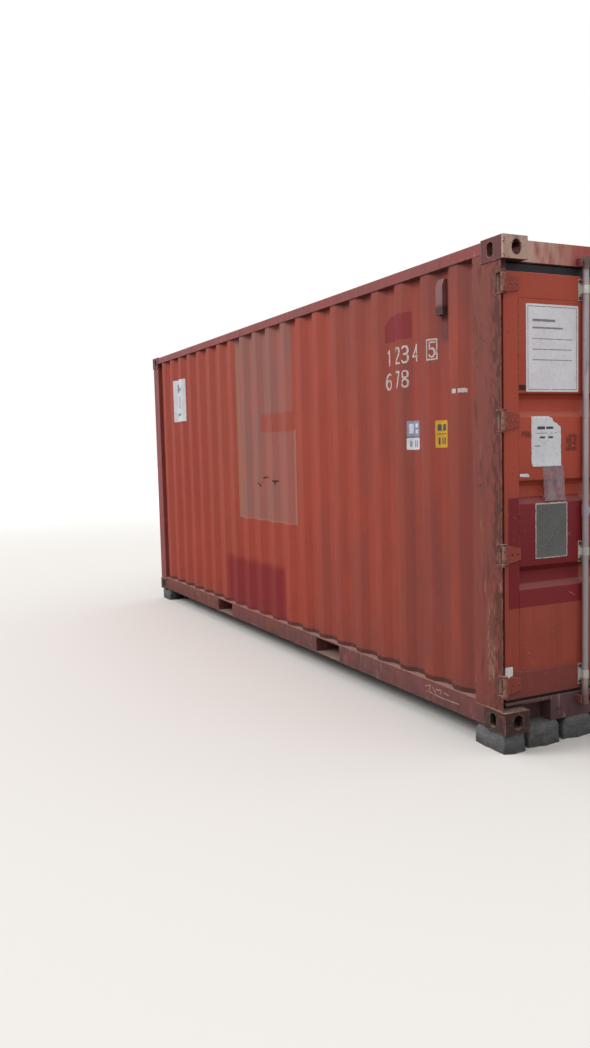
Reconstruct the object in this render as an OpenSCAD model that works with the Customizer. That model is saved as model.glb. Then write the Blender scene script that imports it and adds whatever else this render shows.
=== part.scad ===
// Twenty foot steel dry freight container standing on broken concrete blocks.
// +X runs along the container to its door end, -Y is the left side seen from
// the doors, +Z is up. The origin is the middle of the footprint at the foot
// of the concrete blocks. All sizes are in millimetres.

/* [Container] */
// Length over the corner castings
container_l = 6058; // [5900:1:6200]
// Width over the corner castings
container_w = 2438; // [2420:1:2500]
// Height over the corner castings
container_h = 2591; // [2500:1:2700]

/* [Corner castings] */
// Casting length along the container
casting_l = 178; // [170:1:190]
// Casting width across the container
casting_w = 162; // [155:1:170]
// Casting height
casting_h = 118; // [112:1:126]
// Wall of the casting round its hollow
casting_wall = 20; // [14:1:26]
// Width of the long slot in the top or bottom face
slot_w = 63.5; // [60:0.5:66]
// Length of the long slot in the top or bottom face
slot_l = 124.5; // [118:0.5:126]
// Slot centre from the end of the container
slot_from_end = 102.5; // [98:0.5:104]
// Slot centre from the side of the container
slot_from_side = 89.5; // [86:0.5:92]
// Height of the end and side apertures
aperture_h = 79.5; // [74:0.5:82]
// Width of the end aperture
end_aperture_w = 63.5; // [60:0.5:66]
// Width of the side aperture
side_aperture_w = 51; // [46:0.5:54]

/* [Posts] */
// Reach of the door post's side skin from the door end
door_post_l = 257; // [240:1:270]
// Depth of the hinge notches in the door post's lip, from the door end (mm)
door_post_gap = 63; // [60:1:70]
// Distance from the door end to the lip that shields the hinges (mm)
post_lip = 27; // [25:1:35]
// Depth of the door post across the container
door_post_w = 48; // [44:1:60]
// Length of the closed end post along the container
end_post_l = 171; // [165:1:177]
// Width of the closed end post across the container
end_post_w = 150; // [140:1:158]
// Plate thickness of the posts
post_t = 6; // [4:0.5:8]
// How far posts and end frames sit inside the casting faces
frame_inset = 6; // [4:0.5:8]

/* [Rails] */
// Side of the square top rail
top_rail_s = 60; // [50:1:70]
// Wall of the top rail
top_rail_t = 3; // [2:0.5:5]
// Height of the bottom rail web
bottom_rail_h = 125; // [120:1:140]
// Width of the bottom rail flanges
bottom_rail_w = 46; // [40:1:60]
// Thickness of the bottom rail
bottom_rail_t = 4.5; // [3:0.5:6]
// Height of the bottom rail above the casting foot
rail_lift = 14; // [12:1:20]
// How far the rails sit inside the casting faces
rail_inset = 4; // [2:0.5:6]

/* [Walls and roof] */
// Sheet thickness of walls, doors and roof
sheet_t = 2; // [1.6:0.1:3]
// How far the wall ridges sit inside the casting faces
wall_inset = 10; // [8:0.5:14]
// Depth of the side wall ridges
side_depth = 36; // [30:1:38]
// Width of the outer flat of a side wall ridge
side_crest = 72; // [60:1:80]
// Width of the recessed flat between the ridges
side_valley = 70; // [60:1:80]
// Width of each sloping flank, seen square to the wall
side_flank = 68; // [50:1:72]
// Number of ridges in a side wall
side_ridges = 20; // [16:1:20]
// Depth of the closed end ridges
end_depth = 45; // [40:1:50]
// Width of the outer flat of a closed end ridge
end_crest = 110; // [90:1:120]
// Width of the recessed flat on the closed end
end_valley = 104; // [90:1:115]
// Width of each flank on the closed end
end_flank = 18; // [14:1:24]
// Number of ridges on the closed end
end_ridges = 8; // [6:1:8]
// Depth of the roof troughs
roof_depth = 20; // [14:1:24]
// Distance between roof troughs
roof_pitch = 209; // [190:1:240]
// Width of a roof trough at its bottom
trough_w = 91; // [70:1:100]
// Width of each flank of a roof trough
trough_flank = 13.5; // [10:0.5:20]

/* [Floor] */
// Thickness of the plywood floor
floor_t = 28; // [24:1:32]
// Distance between cross members
member_pitch = 300; // [250:5:360]
// Flange width of a cross member
member_w = 45; // [35:1:60]
// Thickness of a cross member
member_t = 4; // [3:0.5:6]

/* [Forklift pockets] */
// Distance between the centres of the two pockets
pocket_spacing = 2050; // [1900:10:2100]
// Clear width of a pocket
pocket_w = 360; // [340:1:380]
// Plate thickness of a pocket
pocket_t = 4; // [3:0.5:6]

/* [End frames] */
// How far the header and sill faces sit inside the door end
header_face = 52; // [50:1:58]
// Depth of the header and sill boxes along the container
header_d = 98; // [80:1:120]
// Wall of the header and sill boxes
header_t = 5; // [3:0.5:6]
// Height of the door header box
header_h = 110; // [100:1:110]
// Height of the sill threshold above the casting foot
sill_top = 150; // [145:1:156]
// Width of the cut-out beside each bottom casting
sill_cut_w = 195; // [100:1:210]
// Thickness of the lip that the door gasket meets
lip_t = 6; // [4:0.5:8]

/* [Door leaves] */
// Recess of the door face from the door end
door_face = 44; // [40:1:48]
// Thickness of a door leaf
leaf_t = 50; // [44:1:52]
// Gap from the side of the container to the leaf's hinge edge
leaf_edge = 37; // [36:1:40]
// Gap from the middle of the container to each leaf
leaf_middle = 12; // [12:1:20]
// Gap under a leaf to the sill threshold
leaf_under = 21; // [18:1:30]
// Gap over a leaf to the header box
leaf_over = 52; // [40:1:60]
// Width of the hinge side stile
outer_stile_w = 100; // [80:1:110]
// Width of the middle stile
inner_stile_w = 70; // [60:1:90]
// Height of the bottom rail of a leaf
leaf_bottom_h = 144; // [120:1:160]
// Height of the top rail of a leaf
leaf_top_h = 134; // [110:1:150]
// Depth of the grooves across a door panel
groove_depth = 36; // [26:1:38]
// Width of a groove at the door face
groove_w = 125; // [110:1:140]
// Width of each sloping side of a groove
groove_flank = 30; // [24:1:36]
// Number of grooves across a leaf
groove_count = 3; // [2:1:3]
// Distance between grooves
groove_pitch = 458; // [440:1:470]
// Height of the lowest groove above the leaf's bottom rail
groove_first = 505; // [480:1:520]
// Thickness of the gasket behind the leaf
gasket_t = 9.5; // [8:0.5:9.5]
// Reach of the gasket fin past the leaf's top edge
fin_top = 44; // [30:1:46]
// Reach of the gasket fin below the leaf
fin_bottom = 15; // [10:1:15]

/* [Hinges] */
// Number of hinges on a leaf
hinge_count = 4; // [3:1:5]
// Centre of the lowest hinge above the foot of the leaf
hinge_low = 83; // [80:1:120]
// Centre of the highest hinge below the top of the leaf
hinge_top = 64; // [64:1:120]
// Pin axis from the side of the container
pin_side = 16; // [15.5:0.5:17]
// Pin axis from the door end
pin_end = 17; // [16:0.5:18]
// Radius of the hinge pin
pin_r = 9; // [8:0.25:9.5]
// Radius of the hinge knuckle
knuckle_r = 14; // [13.5:0.25:14.5]
// Height of a hinge blade at its knuckle
blade_h = 93; // [70:1:110]
// Height of a hinge blade at its tip
blade_tip_h = 62; // [50:1:70]
// Thickness of a hinge blade on the door face
blade_t = 10; // [8:1:12]
// Reach of a blade from its pin over the door face
blade_l = 120; // [90:1:125]
// Thickness of a hinge lug
lug_t = 12; // [8:1:16]

/* [Lock bars] */
// Radius of a lock bar
bar_r = 17; // [14:0.5:17]
// Outer lock bar from the side of the container
outer_bar_side = 576; // [540:1:640]
// Inner lock bar from the middle of the container
inner_bar_middle = 150; // [140:1:170]
// Bar axis in front of the door face
bar_out = 22; // [21.5:0.5:22.5]
// Radius of the cam at each end of a bar
cam_r = 20; // [18:0.5:21]
// Height of a cam
cam_h = 62; // [50:1:70]
// Height of the outer handles above the casting foot
outer_handle_z = 1160; // [1140:1:1180]
// Height of the inner handles above the casting foot
inner_handle_z = 1070; // [1050:1:1085]
// Length of a handle from its bar
handle_l = 400; // [340:1:410]
// Height of the flat bar that a handle is cut from
handle_h = 32; // [26:1:38]
// Thickness of a handle
handle_t = 8; // [6:1:10]

/* [Concrete blocks] */
// Height of the concrete blocks under the castings
block_h = 110; // [80:1:160]
// Width of the block rows along the container
block_row_w = 290; // [240:1:330]

/* [Hidden] */
$fn = 48;

// Colours as the steel shows them
paint = "#9c4837";
dark_paint = "#7d3a30";
galvanised = "#a9a6ad";
rubber_black = "#1c1c22";
plywood = "#8a6a48";
concrete_grey = "#6a6661";

// Driving edges
half_l = container_l / 2;
half_w = container_w / 2;
post_z0 = casting_h;
post_z1 = container_h - casting_h;
rail_z0 = rail_lift;
rail_z1 = rail_lift + bottom_rail_h;
roof_gap = 8;
roof_z = container_h - roof_gap;
top_rail_z1 = roof_z - sheet_t;
top_rail_z0 = top_rail_z1 - top_rail_s;
floor_z1 = rail_z1 + floor_t;
side_y = wall_inset + side_depth + sheet_t;
end_y = wall_inset + end_depth + sheet_t;
side_fit = (container_l - door_post_l - end_post_l)
           / ridge_length(side_ridges, side_valley, side_flank, side_crest);
casting_back = 12;
slack = 0.3;
moving_gap = 5;
post_box_l = 113;
post_bend = 52;
post_lean = 60;
header_strip = 60;
header_plate_t = 4;
sill_plate = 12;
end_sill_w = 54;
end_sill_z1 = sill_top;
end_header_z0 = top_rail_z0;
pocket_z0 = rail_z0 + bottom_rail_t + pocket_t;
pocket_z1 = rail_z1 - bottom_rail_t - pocket_t;
pocket_strap = 200;
floor_gap = 3;
floor_sheets_long = 5;
vent_w = 64;
vent_h = 200;
vent_d = 34;
vent_wall = 3;
vent_top_d = 17;
vent_fall = 40;
vent_top_t = 10;
vent_drop = 51;
vent_z = top_rail_z0 - vent_drop - vent_h;
lug_gap = 1.5;
pin_play = 0.1;
bar_play = 0.4;
blade_rise = 44;
blade_root = knuckle_r * 0.97;
gasket_w = 28;
fin_t = 30;
fin_middle = 6;
fin_corner = 23;

// Door planes, measured in from the door end
leaf_back = door_face + leaf_t;
seat_d = leaf_back + 10;
leaf_z0 = sill_top + leaf_under;
header_z0 = post_z1;
leaf_z1 = header_z0 - leaf_over;
post_head_w = leaf_edge + fin_corner - moving_gap;
lip_lap = 15;
panel_z0 = leaf_z0 + leaf_bottom_h;
panel_z1 = leaf_z1 - leaf_top_h;
hinge_stack = blade_h + 2 * (lug_t + lug_gap);
hinge_pitch = (leaf_z1 - hinge_top - leaf_z0 - hinge_low) / (hinge_count - 1);

// Bar axis and the heights of its parts
bar_d = door_face - bar_out;
bar_z0 = 84;
bar_under_top = 70;
bar_z1 = container_h - bar_under_top;
keeper_t = 8;
keeper_room = 33;
keeper_h = 44;
keeper_front = 12;
guide_plate_t = 4;
guide_w = 66;
guide_h = 116;
strap_h = 44;
strap_r = bar_out - 1.2;
strap_side = strap_r * 0.9;
hub_h = 64;
cam_nose = 14;
cam_reach = 25;
handle_out = 8;
crank_from = 60;
crank_to = 120;
rest_along = 330;
rest_w = 70;
rest_margin = 40;
lump_gap = 14;
lump_shift = 18;
lumps_a_side = 4;
guide_low = 82;
guide_middle = 767;
guide_top = 73;
guide_heights = [leaf_z0 + guide_low, leaf_z0 + guide_middle, leaf_z1 - guide_top];

// Turns a distance from the door end, or from the left side, into a coordinate
function from_door(d) = half_l - d;
function from_left(e) = -half_w + e;
function hinge_z(i) = leaf_z0 + hinge_low + i * hinge_pitch;

// Corner shift that keeps a folded sheet one thickness
function fold_shift(depth, flank, t) = t * (sqrt(depth * depth + flank * flank) - flank) / depth;

function ridge_length(n, valley, flank, crest) = n * (valley + 2 * flank + crest) + valley;

// Folded line of a ridged sheet: flat, flank, ridge, flank, repeated
function ridge_line(n, valley, flank, crest, depth, drop, shift) =
    concat([[0, -drop]],
           [for (i = [0 : n - 1])
                let (u = i * (valley + 2 * flank + crest))
                for (p = [[u + valley + shift, -drop],
                          [u + valley + flank + shift, depth - drop],
                          [u + valley + flank + crest - shift, depth - drop],
                          [u + valley + 2 * flank + crest - shift, -drop]]) p],
           [[ridge_length(n, valley, flank, crest), -drop]]);

function reversed(list) = [for (i = [len(list) - 1 : -1 : 0]) list[i]];

// Cross section of a ridged sheet: ridges rise towards +Y from the flats'
// outer face on y = 0, and fit stretches them so that they fill their span
module ridged_section(fit, n, valley, flank, crest, depth, t) {
    shift = fold_shift(depth, fit * flank, t);
    polygon(concat(ridge_line(n, fit * valley, fit * flank, fit * crest, depth, 0, 0),
                   reversed(ridge_line(n, fit * valley, fit * flank, fit * crest, depth, t, shift))));
}

// Box given by its two corners
module block(low, high) {
    translate(low) cube(high - low);
}

// Box in container places: d in from the door end, e in from the left side
module left_block(d0, d1, e0, e1, z0, z1) {
    block([from_door(d1), from_left(e0), z0], [from_door(d0), from_left(e1), z1]);
}

// Puts its children on the right side of the container when asked
module to_side(right) {
    mirror([0, right ? 1 : 0, 0]) children();
}

// Puts its children at the closed end of the container when asked
module to_end(closed_end) {
    mirror([closed_end ? 1 : 0, 0, 0]) children();
}

// Everything steel stands on the concrete blocks
module on_blocks() {
    translate([0, 0, block_h]) children();
}

// Slot with round ends, its length along X, cut upwards through a wall
module slot_cut(l, w, depth) {
    linear_extrude(height = depth) {
        square([l - w, w], center = true);
        for (s = [-1, 1]) translate([s * (l - w) / 2, 0]) circle(d = w);
    }
}

// Corner casting of the left side of the door end, its long slot on top
module casting_shape() {
    slot_x = from_door(slot_from_end);
    slot_y = from_left(slot_from_side);
    difference() {
        left_block(0, casting_l, 0, casting_w, 0, casting_h);
        left_block(casting_wall, casting_l - casting_back, casting_wall, casting_w - casting_back,
                   casting_back, casting_h - casting_wall);
        translate([slot_x, slot_y, casting_h - casting_wall - 1])
            slot_cut(slot_l, slot_w, casting_wall + 2);
        translate([from_door(casting_wall + 1), slot_y, casting_h / 2])
            rotate([0, 90, 0]) slot_cut(aperture_h, end_aperture_w, casting_wall + 2);
        translate([slot_x, from_left(casting_wall + 1), casting_h / 2])
            rotate([90, 0, 0]) rotate([0, 0, 90])
                slot_cut(aperture_h, side_aperture_w, casting_wall + 2);
    }
}

module casting(closed_end, right, top) {
    color(paint) on_blocks() to_end(closed_end) to_side(right)
        if (top) translate([0, 0, container_h - casting_h]) casting_shape();
        else translate([0, 0, casting_h]) mirror([0, 0, 1]) casting_shape();
}

// Door post: a long outer skin, turned in at its back edge to meet the side
// wall, with a boxed channel inside it, whose end face is the gasket's seat.
// Behind the casting it runs up to the top rail.
module door_post(right) {
    skin_y = from_left(frame_inset);
    inner_y = from_left(door_post_w);
    edge_x = from_door(door_post_l);
    lip_x = from_door(post_lip);
    seat_x = from_door(seat_d);
    back_x = from_door(seat_d + post_box_l);
    color(paint) on_blocks() to_side(right)
        difference() {
            union() {
                translate([0, 0, post_z0]) linear_extrude(height = top_rail_z0 - post_z0)
                    difference() {
                        polygon([[edge_x, skin_y], [lip_x, skin_y], [lip_x, skin_y + post_t],
                                 [seat_x, skin_y + post_t], [seat_x, inner_y], [back_x, inner_y],
                                 [back_x, skin_y + post_t], [edge_x + post_t, skin_y + post_t],
                                 [edge_x + post_t, from_left(side_y)], [edge_x, from_left(side_y)]]);
                        translate([back_x + post_t, skin_y + post_t])
                            square([post_box_l - 2 * post_t, door_post_w - frame_inset - 2 * post_t]);
                    }
                left_block(door_face, door_face + post_t, frame_inset + 1, post_head_w,
                           leaf_z1 + moving_gap, post_z1);
            }
            left_block(-1, casting_l, -1, casting_w, post_z1, top_rail_z0 + 1);
            for (i = [0 : hinge_count - 1]) translate([0, 0, hinge_z(i)])
                left_block(post_lip - 1, door_post_gap, frame_inset - 1, frame_inset + post_t + 1,
                           -hinge_stack / 2 - lug_gap, hinge_stack / 2 + lug_gap);
        }
}

// Closed end post: a hollow section between the side wall and the end wall
module end_post(right) {
    g = frame_inset;
    t = post_t;
    color(paint) on_blocks() to_end(true) to_side(right)
        translate([half_l, -half_w, post_z0]) mirror([1, 0, 0])
            linear_extrude(height = post_z1 - post_z0)
                difference() {
                    polygon([[g, g], [end_post_l, g], [end_post_l, side_y],
                             [end_post_l - post_lean, post_bend], [end_y, end_post_w - post_lean],
                             [end_y, end_post_w], [g, end_post_w]]);
                    polygon([[g + t, g + t], [end_post_l - t, g + t], [end_post_l - t, side_y - t],
                             [end_post_l - post_lean - t, post_bend - t],
                             [end_y - t, end_post_w - post_lean - t],
                             [end_y - t, end_post_w - t], [g + t, end_post_w - t]]);
                }
}

// Square tube along the side, over the side wall
module top_rail(right) {
    color(paint) on_blocks() to_side(right)
        difference() {
            left_block(casting_l, container_l - casting_l, rail_inset, rail_inset + top_rail_s,
                       top_rail_z0, top_rail_z1);
            left_block(casting_l - 1, container_l - casting_l + 1,
                       rail_inset + top_rail_t, rail_inset + top_rail_s - top_rail_t,
                       top_rail_z0 + top_rail_t, top_rail_z1 - top_rail_t);
        }
}

// Channel along the foot of the side, its web cut open at the forklift pockets
module bottom_rail(right) {
    color(dark_paint) on_blocks() to_side(right)
        difference() {
            left_block(casting_l, container_l - casting_l, rail_inset, rail_inset + bottom_rail_w,
                       rail_z0, rail_z1);
            left_block(casting_l - 1, container_l - casting_l + 1,
                       rail_inset + bottom_rail_t, rail_inset + bottom_rail_w + 1,
                       rail_z0 + bottom_rail_t, rail_z1 - bottom_rail_t);
            left_block(casting_l - 1, door_post_l, rail_inset - 1, rail_inset + bottom_rail_w + 1,
                       post_z0, rail_z1 + 1);
            for (s = [-1, 1]) translate([s * pocket_spacing / 2, 0, 0])
                block([-pocket_w / 2, from_left(rail_inset - 1), pocket_z0],
                      [pocket_w / 2, from_left(rail_inset + bottom_rail_t + 1), pocket_z1]);
        }
}

// Room that a top casting of the closed end takes out of the walls beside it
module end_casting_room() {
    to_end(true) left_block(0, casting_l, 0, casting_w, post_z1, container_h);
}

// Ridged side wall, from the door post to the closed end post
module side_wall(right) {
    color(paint) on_blocks() to_side(right)
        difference() {
            translate([from_door(door_post_l), from_left(wall_inset + side_depth), rail_z1])
                linear_extrude(height = top_rail_z0 - rail_z1)
                    rotate(180)
                        ridged_section(side_fit, side_ridges, side_valley, side_flank,
                                       side_crest, side_depth, sheet_t);
            end_casting_room();
        }
}

// Ridged wall across the closed end
module end_wall() {
    span = container_w - 2 * end_post_w;
    fit = span / ridge_length(end_ridges, end_valley, end_flank, end_crest);
    color(paint) on_blocks()
        difference() {
            translate([-half_l + wall_inset + end_depth, from_left(end_post_w), end_sill_z1])
                linear_extrude(height = end_header_z0 - end_sill_z1)
                    rotate(90)
                        ridged_section(fit, end_ridges, end_valley, end_flank,
                                       end_crest, end_depth, sheet_t);
            for (right = [false, true]) to_side(right) end_casting_room();
        }
}

// Roof sheet over the top rails between the headers, with pressed troughs across it
module roof() {
    drop = roof_depth - sheet_t;
    shift = fold_shift(drop, trough_flank, sheet_t);
    span = container_l - 2 * casting_l - 2 * header_strip;
    troughs = floor((span + trough_w) / roof_pitch);
    edge = half_w - rail_inset;
    end = half_l - casting_l;
    reach = edge - top_rail_s;
    color(paint) on_blocks() translate([0, 0, roof_z])
        difference() {
            union() {
                block([-end, -edge, -sheet_t], [end, edge, 0]);
                at_troughs(troughs) trough(trough_w / 2 + shift, -roof_depth, -sheet_t / 2, reach);
            }
            at_troughs(troughs) trough(trough_w / 2, -drop, 1, reach - sheet_t);
        }
}

module at_troughs(count) {
    for (i = [0 : count - 1]) translate([(i - (count - 1) / 2) * roof_pitch, 0, 0]) children();
}

// Bar with sloping flanks across the roof: bottom half width, bottom, top and half length
module trough(half_bottom, bottom, top, reach) {
    half_top = half_bottom + trough_flank;
    flank_top = bottom + roof_depth - sheet_t;
    rotate([90, 0, 0]) translate([0, 0, -reach]) linear_extrude(height = 2 * reach)
        polygon([[-half_bottom, bottom], [half_bottom, bottom], [half_top, flank_top],
                 [half_top, top], [-half_top, top], [-half_top, flank_top]]);
}

// Plywood sheets in two rows on the cross members
module floor_sheets() {
    x0 = -half_l + end_y + floor_gap;
    x1 = from_door(header_face + header_d) - floor_gap;
    step = (x1 - x0) / floor_sheets_long;
    color(plywood) on_blocks()
        for (right = [false, true]) to_side(right)
            difference() {
                for (i = [0 : floor_sheets_long - 1])
                    block([x0 + i * step, from_left(side_y + floor_gap), rail_z1],
                          [x0 + (i + 1) * step - floor_gap, -floor_gap / 2, floor_z1]);
                to_end(true) translate([half_l, -half_w, rail_z1 - 1]) mirror([1, 0, 0])
                    linear_extrude(height = floor_t + 2)
                        polygon([[0, 0], [end_post_l + floor_gap, 0], [end_post_l + floor_gap, side_y],
                                 [end_post_l - post_lean, post_bend + floor_gap],
                                 [end_y + floor_gap, end_post_w - post_lean],
                                 [0, end_post_w - post_lean]]);
            }
}

// Channel section cross member, drawn across the container
module cross_member() {
    y0 = from_left(rail_inset + bottom_rail_w);
    difference() {
        block([-member_w / 2, y0, rail_z0], [member_w / 2, -y0, rail_z1]);
        block([-member_w / 2 + member_t, y0 - 1, rail_z0 + member_t],
              [member_w / 2 + 1, -y0 + 1, rail_z1 - member_t]);
    }
}

// Cross members, left out where the forklift pockets run
module cross_members() {
    first = -half_l + casting_l + member_w;
    count = floor((container_l - 2 * casting_l - 2 * member_w) / member_pitch);
    step = (container_l - 2 * casting_l - 2 * member_w) / count;
    keep_off = (pocket_w + member_w) / 2 + pocket_t;
    color(dark_paint) on_blocks()
        for (i = [0 : count])
            let (x = first + i * step)
                if (abs(abs(x) - pocket_spacing / 2) > keep_off)
                    translate([x, 0, 0]) cross_member();
}

// Two steel tunnels that take the forks, with a strap under each mouth
module forklift_pockets() {
    y0 = from_left(rail_inset + bottom_rail_t);
    outer = pocket_w / 2 + pocket_t;
    z0 = rail_z0 + bottom_rail_t;
    z1 = rail_z1 - bottom_rail_t;
    color(dark_paint) on_blocks()
        for (s = [-1, 1]) translate([s * pocket_spacing / 2, 0, 0])
            difference() {
                block([-outer, y0, z0], [outer, -y0, z1]);
                block([-pocket_w / 2, y0 - 1, pocket_z0], [pocket_w / 2, -y0 + 1, pocket_z1]);
                block([-pocket_w / 2, y0 + pocket_strap, z0 - 1],
                      [pocket_w / 2, -y0 - pocket_strap, pocket_z0 + 1]);
            }
}

// Pressed hood over the air holes, open underneath, in a wall valley
module ventilator_shape() {
    wall = vent_wall;
    difference() {
        rotate([90, 0, 0]) rotate([0, 90, 0])
            translate([0, 0, -vent_w / 2]) linear_extrude(height = vent_w)
                polygon([[0, 0], [0, vent_h], [-vent_top_d, vent_h],
                         [-vent_d, vent_h - vent_fall], [-vent_d, 0]]);
        block([-vent_w / 2 + wall, -vent_d + wall, -1],
              [vent_w / 2 - wall, -wall, vent_h - vent_fall - vent_top_t]);
    }
}

// One ventilator near the door end on the left, one near the closed end on the right
module ventilators() {
    pitch = side_valley + 2 * side_flank + side_crest;
    color(dark_paint) on_blocks()
        for (right = [false, true])
            let (ridge = right ? side_ridges - 1 : 1)
                to_side(right)
                    translate([from_door(door_post_l + side_fit * (side_valley / 2 + ridge * pitch)),
                               from_left(wall_inset + side_depth), vent_z])
                        ventilator_shape();
}

// Box section between the castings, with the lip that the gasket meets
module door_header() {
    color(paint) on_blocks() {
        difference() {
            left_block(header_face, header_face + header_d, casting_w, container_w - casting_w,
                       header_z0, header_z0 + header_h);
            left_block(header_face + header_t, header_face + header_d - header_t,
                       casting_w - 1, container_w - casting_w + 1,
                       header_z0 + header_t, header_z0 + header_h - header_t);
        }
        left_block(seat_d, seat_d + lip_t, door_post_w, container_w - door_post_w,
                   leaf_z1 - lip_lap, header_z0);
        header_plate(header_face + header_d - header_t, header_z0 + header_h - header_plate_t);
    }
}

// Plate from a header back to the roof sheet, between the castings
module header_plate(from_end, z0) {
    left_block(from_end, casting_l, casting_w, container_w - casting_w, z0, roof_z);
}

// Sill: a box with a cut-out beside each casting, a threshold over it and a lip
module door_sill() {
    cut_e = casting_w + sill_cut_w;
    color(paint) on_blocks() {
        difference() {
            left_block(header_face, header_face + header_d, casting_w, container_w - casting_w,
                       rail_z0, sill_top - sill_plate);
            left_block(header_face + header_t, header_face + header_d - header_t,
                       casting_w - 1, container_w - casting_w + 1,
                       rail_z0 + header_t, sill_top - sill_plate - header_t);
            for (right = [false, true]) to_side(right)
                left_block(header_face - 1, header_face + header_d - header_t,
                           casting_w - 1, cut_e, rail_z0 - 1, sill_top - sill_plate - header_t);
        }
        for (right = [false, true]) to_side(right)
            left_block(header_face, header_face + header_d - header_t,
                       cut_e, cut_e + header_t, rail_z0, sill_top - sill_plate);
        left_block(header_face, header_face + header_d, door_post_w, container_w - door_post_w,
                   sill_top - sill_plate, sill_top);
        left_block(seat_d, seat_d + lip_t, door_post_w, container_w - door_post_w,
                   sill_top, leaf_z0 + lip_lap);
    }
}

// Rail over the closed end wall, between the castings
module end_header() {
    color(paint) on_blocks() to_end(true) {
        difference() {
            left_block(rail_inset, rail_inset + top_rail_s, casting_w, container_w - casting_w,
                       end_header_z0, top_rail_z1);
            left_block(rail_inset + top_rail_t, rail_inset + top_rail_s - top_rail_t,
                       casting_w - 1, container_w - casting_w + 1,
                       end_header_z0 + top_rail_t, top_rail_z1 - top_rail_t);
        }
        header_plate(rail_inset, roof_z - header_plate_t);
    }
}

// Channel under the closed end wall, between the castings
module end_sill() {
    color(paint) on_blocks() to_end(true)
        difference() {
            left_block(rail_inset, rail_inset + end_sill_w, casting_w, container_w - casting_w,
                       rail_z0, end_sill_z1);
            left_block(rail_inset + header_t, rail_inset + end_sill_w + 1,
                       casting_w - 1, container_w - casting_w + 1,
                       rail_z0 + header_t, end_sill_z1 - header_t);
        }
}

// Lug plates welded into the post, two to a hinge, with the pin through them
module hinge_lugs_shape() {
    axis_x = from_door(pin_end);
    axis_y = from_left(pin_side);
    for (i = [0 : hinge_count - 1]) translate([0, 0, hinge_z(i)]) {
        for (s = [-1, 1]) translate([0, 0, s * (blade_h / 2 + lug_gap + lug_t / 2)])
            translate([0, 0, -lug_t / 2]) linear_extrude(height = lug_t) {
                translate([from_door(seat_d), from_left(frame_inset + post_t)])
                    square([seat_d - door_post_gap, pin_side + knuckle_r - frame_inset - post_t]);
                translate([from_door(door_post_gap), axis_y - knuckle_r])
                    square([door_post_gap - pin_end, 2 * knuckle_r]);
                translate([axis_x, axis_y]) circle(r = knuckle_r);
            }
        translate([axis_x, axis_y, -hinge_stack / 2]) cylinder(r = pin_r, h = hinge_stack);
    }
}

module hinge_lugs() {
    color(paint) on_blocks()
        for (right = [false, true]) to_side(right) hinge_lugs_shape();
}

// Hinge blades: a knuckle round the pin and a strap over the door face
module hinge_blades(right) {
    axis_x = from_door(pin_end);
    axis_y = from_left(pin_side);
    face_x = from_door(door_face);
    color(paint) on_blocks() to_side(right)
        for (i = [0 : hinge_count - 1]) translate([0, 0, hinge_z(i) - blade_h / 2])
            difference() {
                linear_extrude(height = blade_h)
                    difference() {
                        union() {
                            translate([axis_x, axis_y]) circle(r = knuckle_r);
                            polygon([[axis_x + blade_root, axis_y],
                                     [face_x + blade_t, axis_y + blade_rise],
                                     [face_x + blade_t, axis_y + blade_l],
                                     [face_x, axis_y + blade_l],
                                     [face_x, from_left(leaf_edge)], [axis_x - blade_root, axis_y]]);
                        }
                        translate([axis_x, axis_y]) circle(r = pin_r + pin_play);
                    }
                for (top = [0, 1])
                    translate([face_x - 1, axis_y, top * blade_h]) mirror([0, 0, top]) blade_taper();
            }
}

// Wedge that takes the height off a blade towards its tip
module blade_taper() {
    rotate([90, 0, 90]) linear_extrude(height = blade_t + 2)
        polygon([[blade_rise, 0], [blade_rise, -1], [blade_l + 1, -1],
                 [blade_l + 1, (blade_h - blade_tip_h) / 2]]);
}

// Frame of a leaf: two stiles with a top and a bottom rail
module door_frame(right) {
    color(paint) on_blocks() to_side(right)
        difference() {
            left_block(door_face, leaf_back, leaf_edge, half_w - leaf_middle, leaf_z0, leaf_z1);
            left_block(door_face - 1, leaf_back + 1, leaf_edge + outer_stile_w,
                       half_w - leaf_middle - inner_stile_w, panel_z0, panel_z1);
        }
}

// Section of the door panel, drawn up the height, with grooves cut inwards
function groove_line(drop, shift) =
    concat([[0, -drop]],
           [for (i = [0 : groove_count - 1])
                let (z = groove_first + i * groove_pitch, w = groove_w / 2)
                for (p = [[z - w - shift, -drop],
                          [z - w + groove_flank - shift, -groove_depth - drop],
                          [z + w - groove_flank + shift, -groove_depth - drop],
                          [z + w + shift, -drop]]) p],
           [[panel_z1 - panel_z0, -drop]]);

// Pressed sheet between the stiles
module door_panel(right) {
    shift = fold_shift(groove_depth, groove_flank, sheet_t);
    y0 = from_left(leaf_edge + outer_stile_w);
    y1 = -leaf_middle - inner_stile_w;
    color(paint) on_blocks() to_side(right)
        translate([from_door(door_face), y1, panel_z0])
            rotate([90, 0, 0]) linear_extrude(height = y1 - y0)
                mirror([1, 0]) rotate(90)
                    polygon(concat(groove_line(0, 0), reversed(groove_line(sheet_t, shift))));
}

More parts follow.
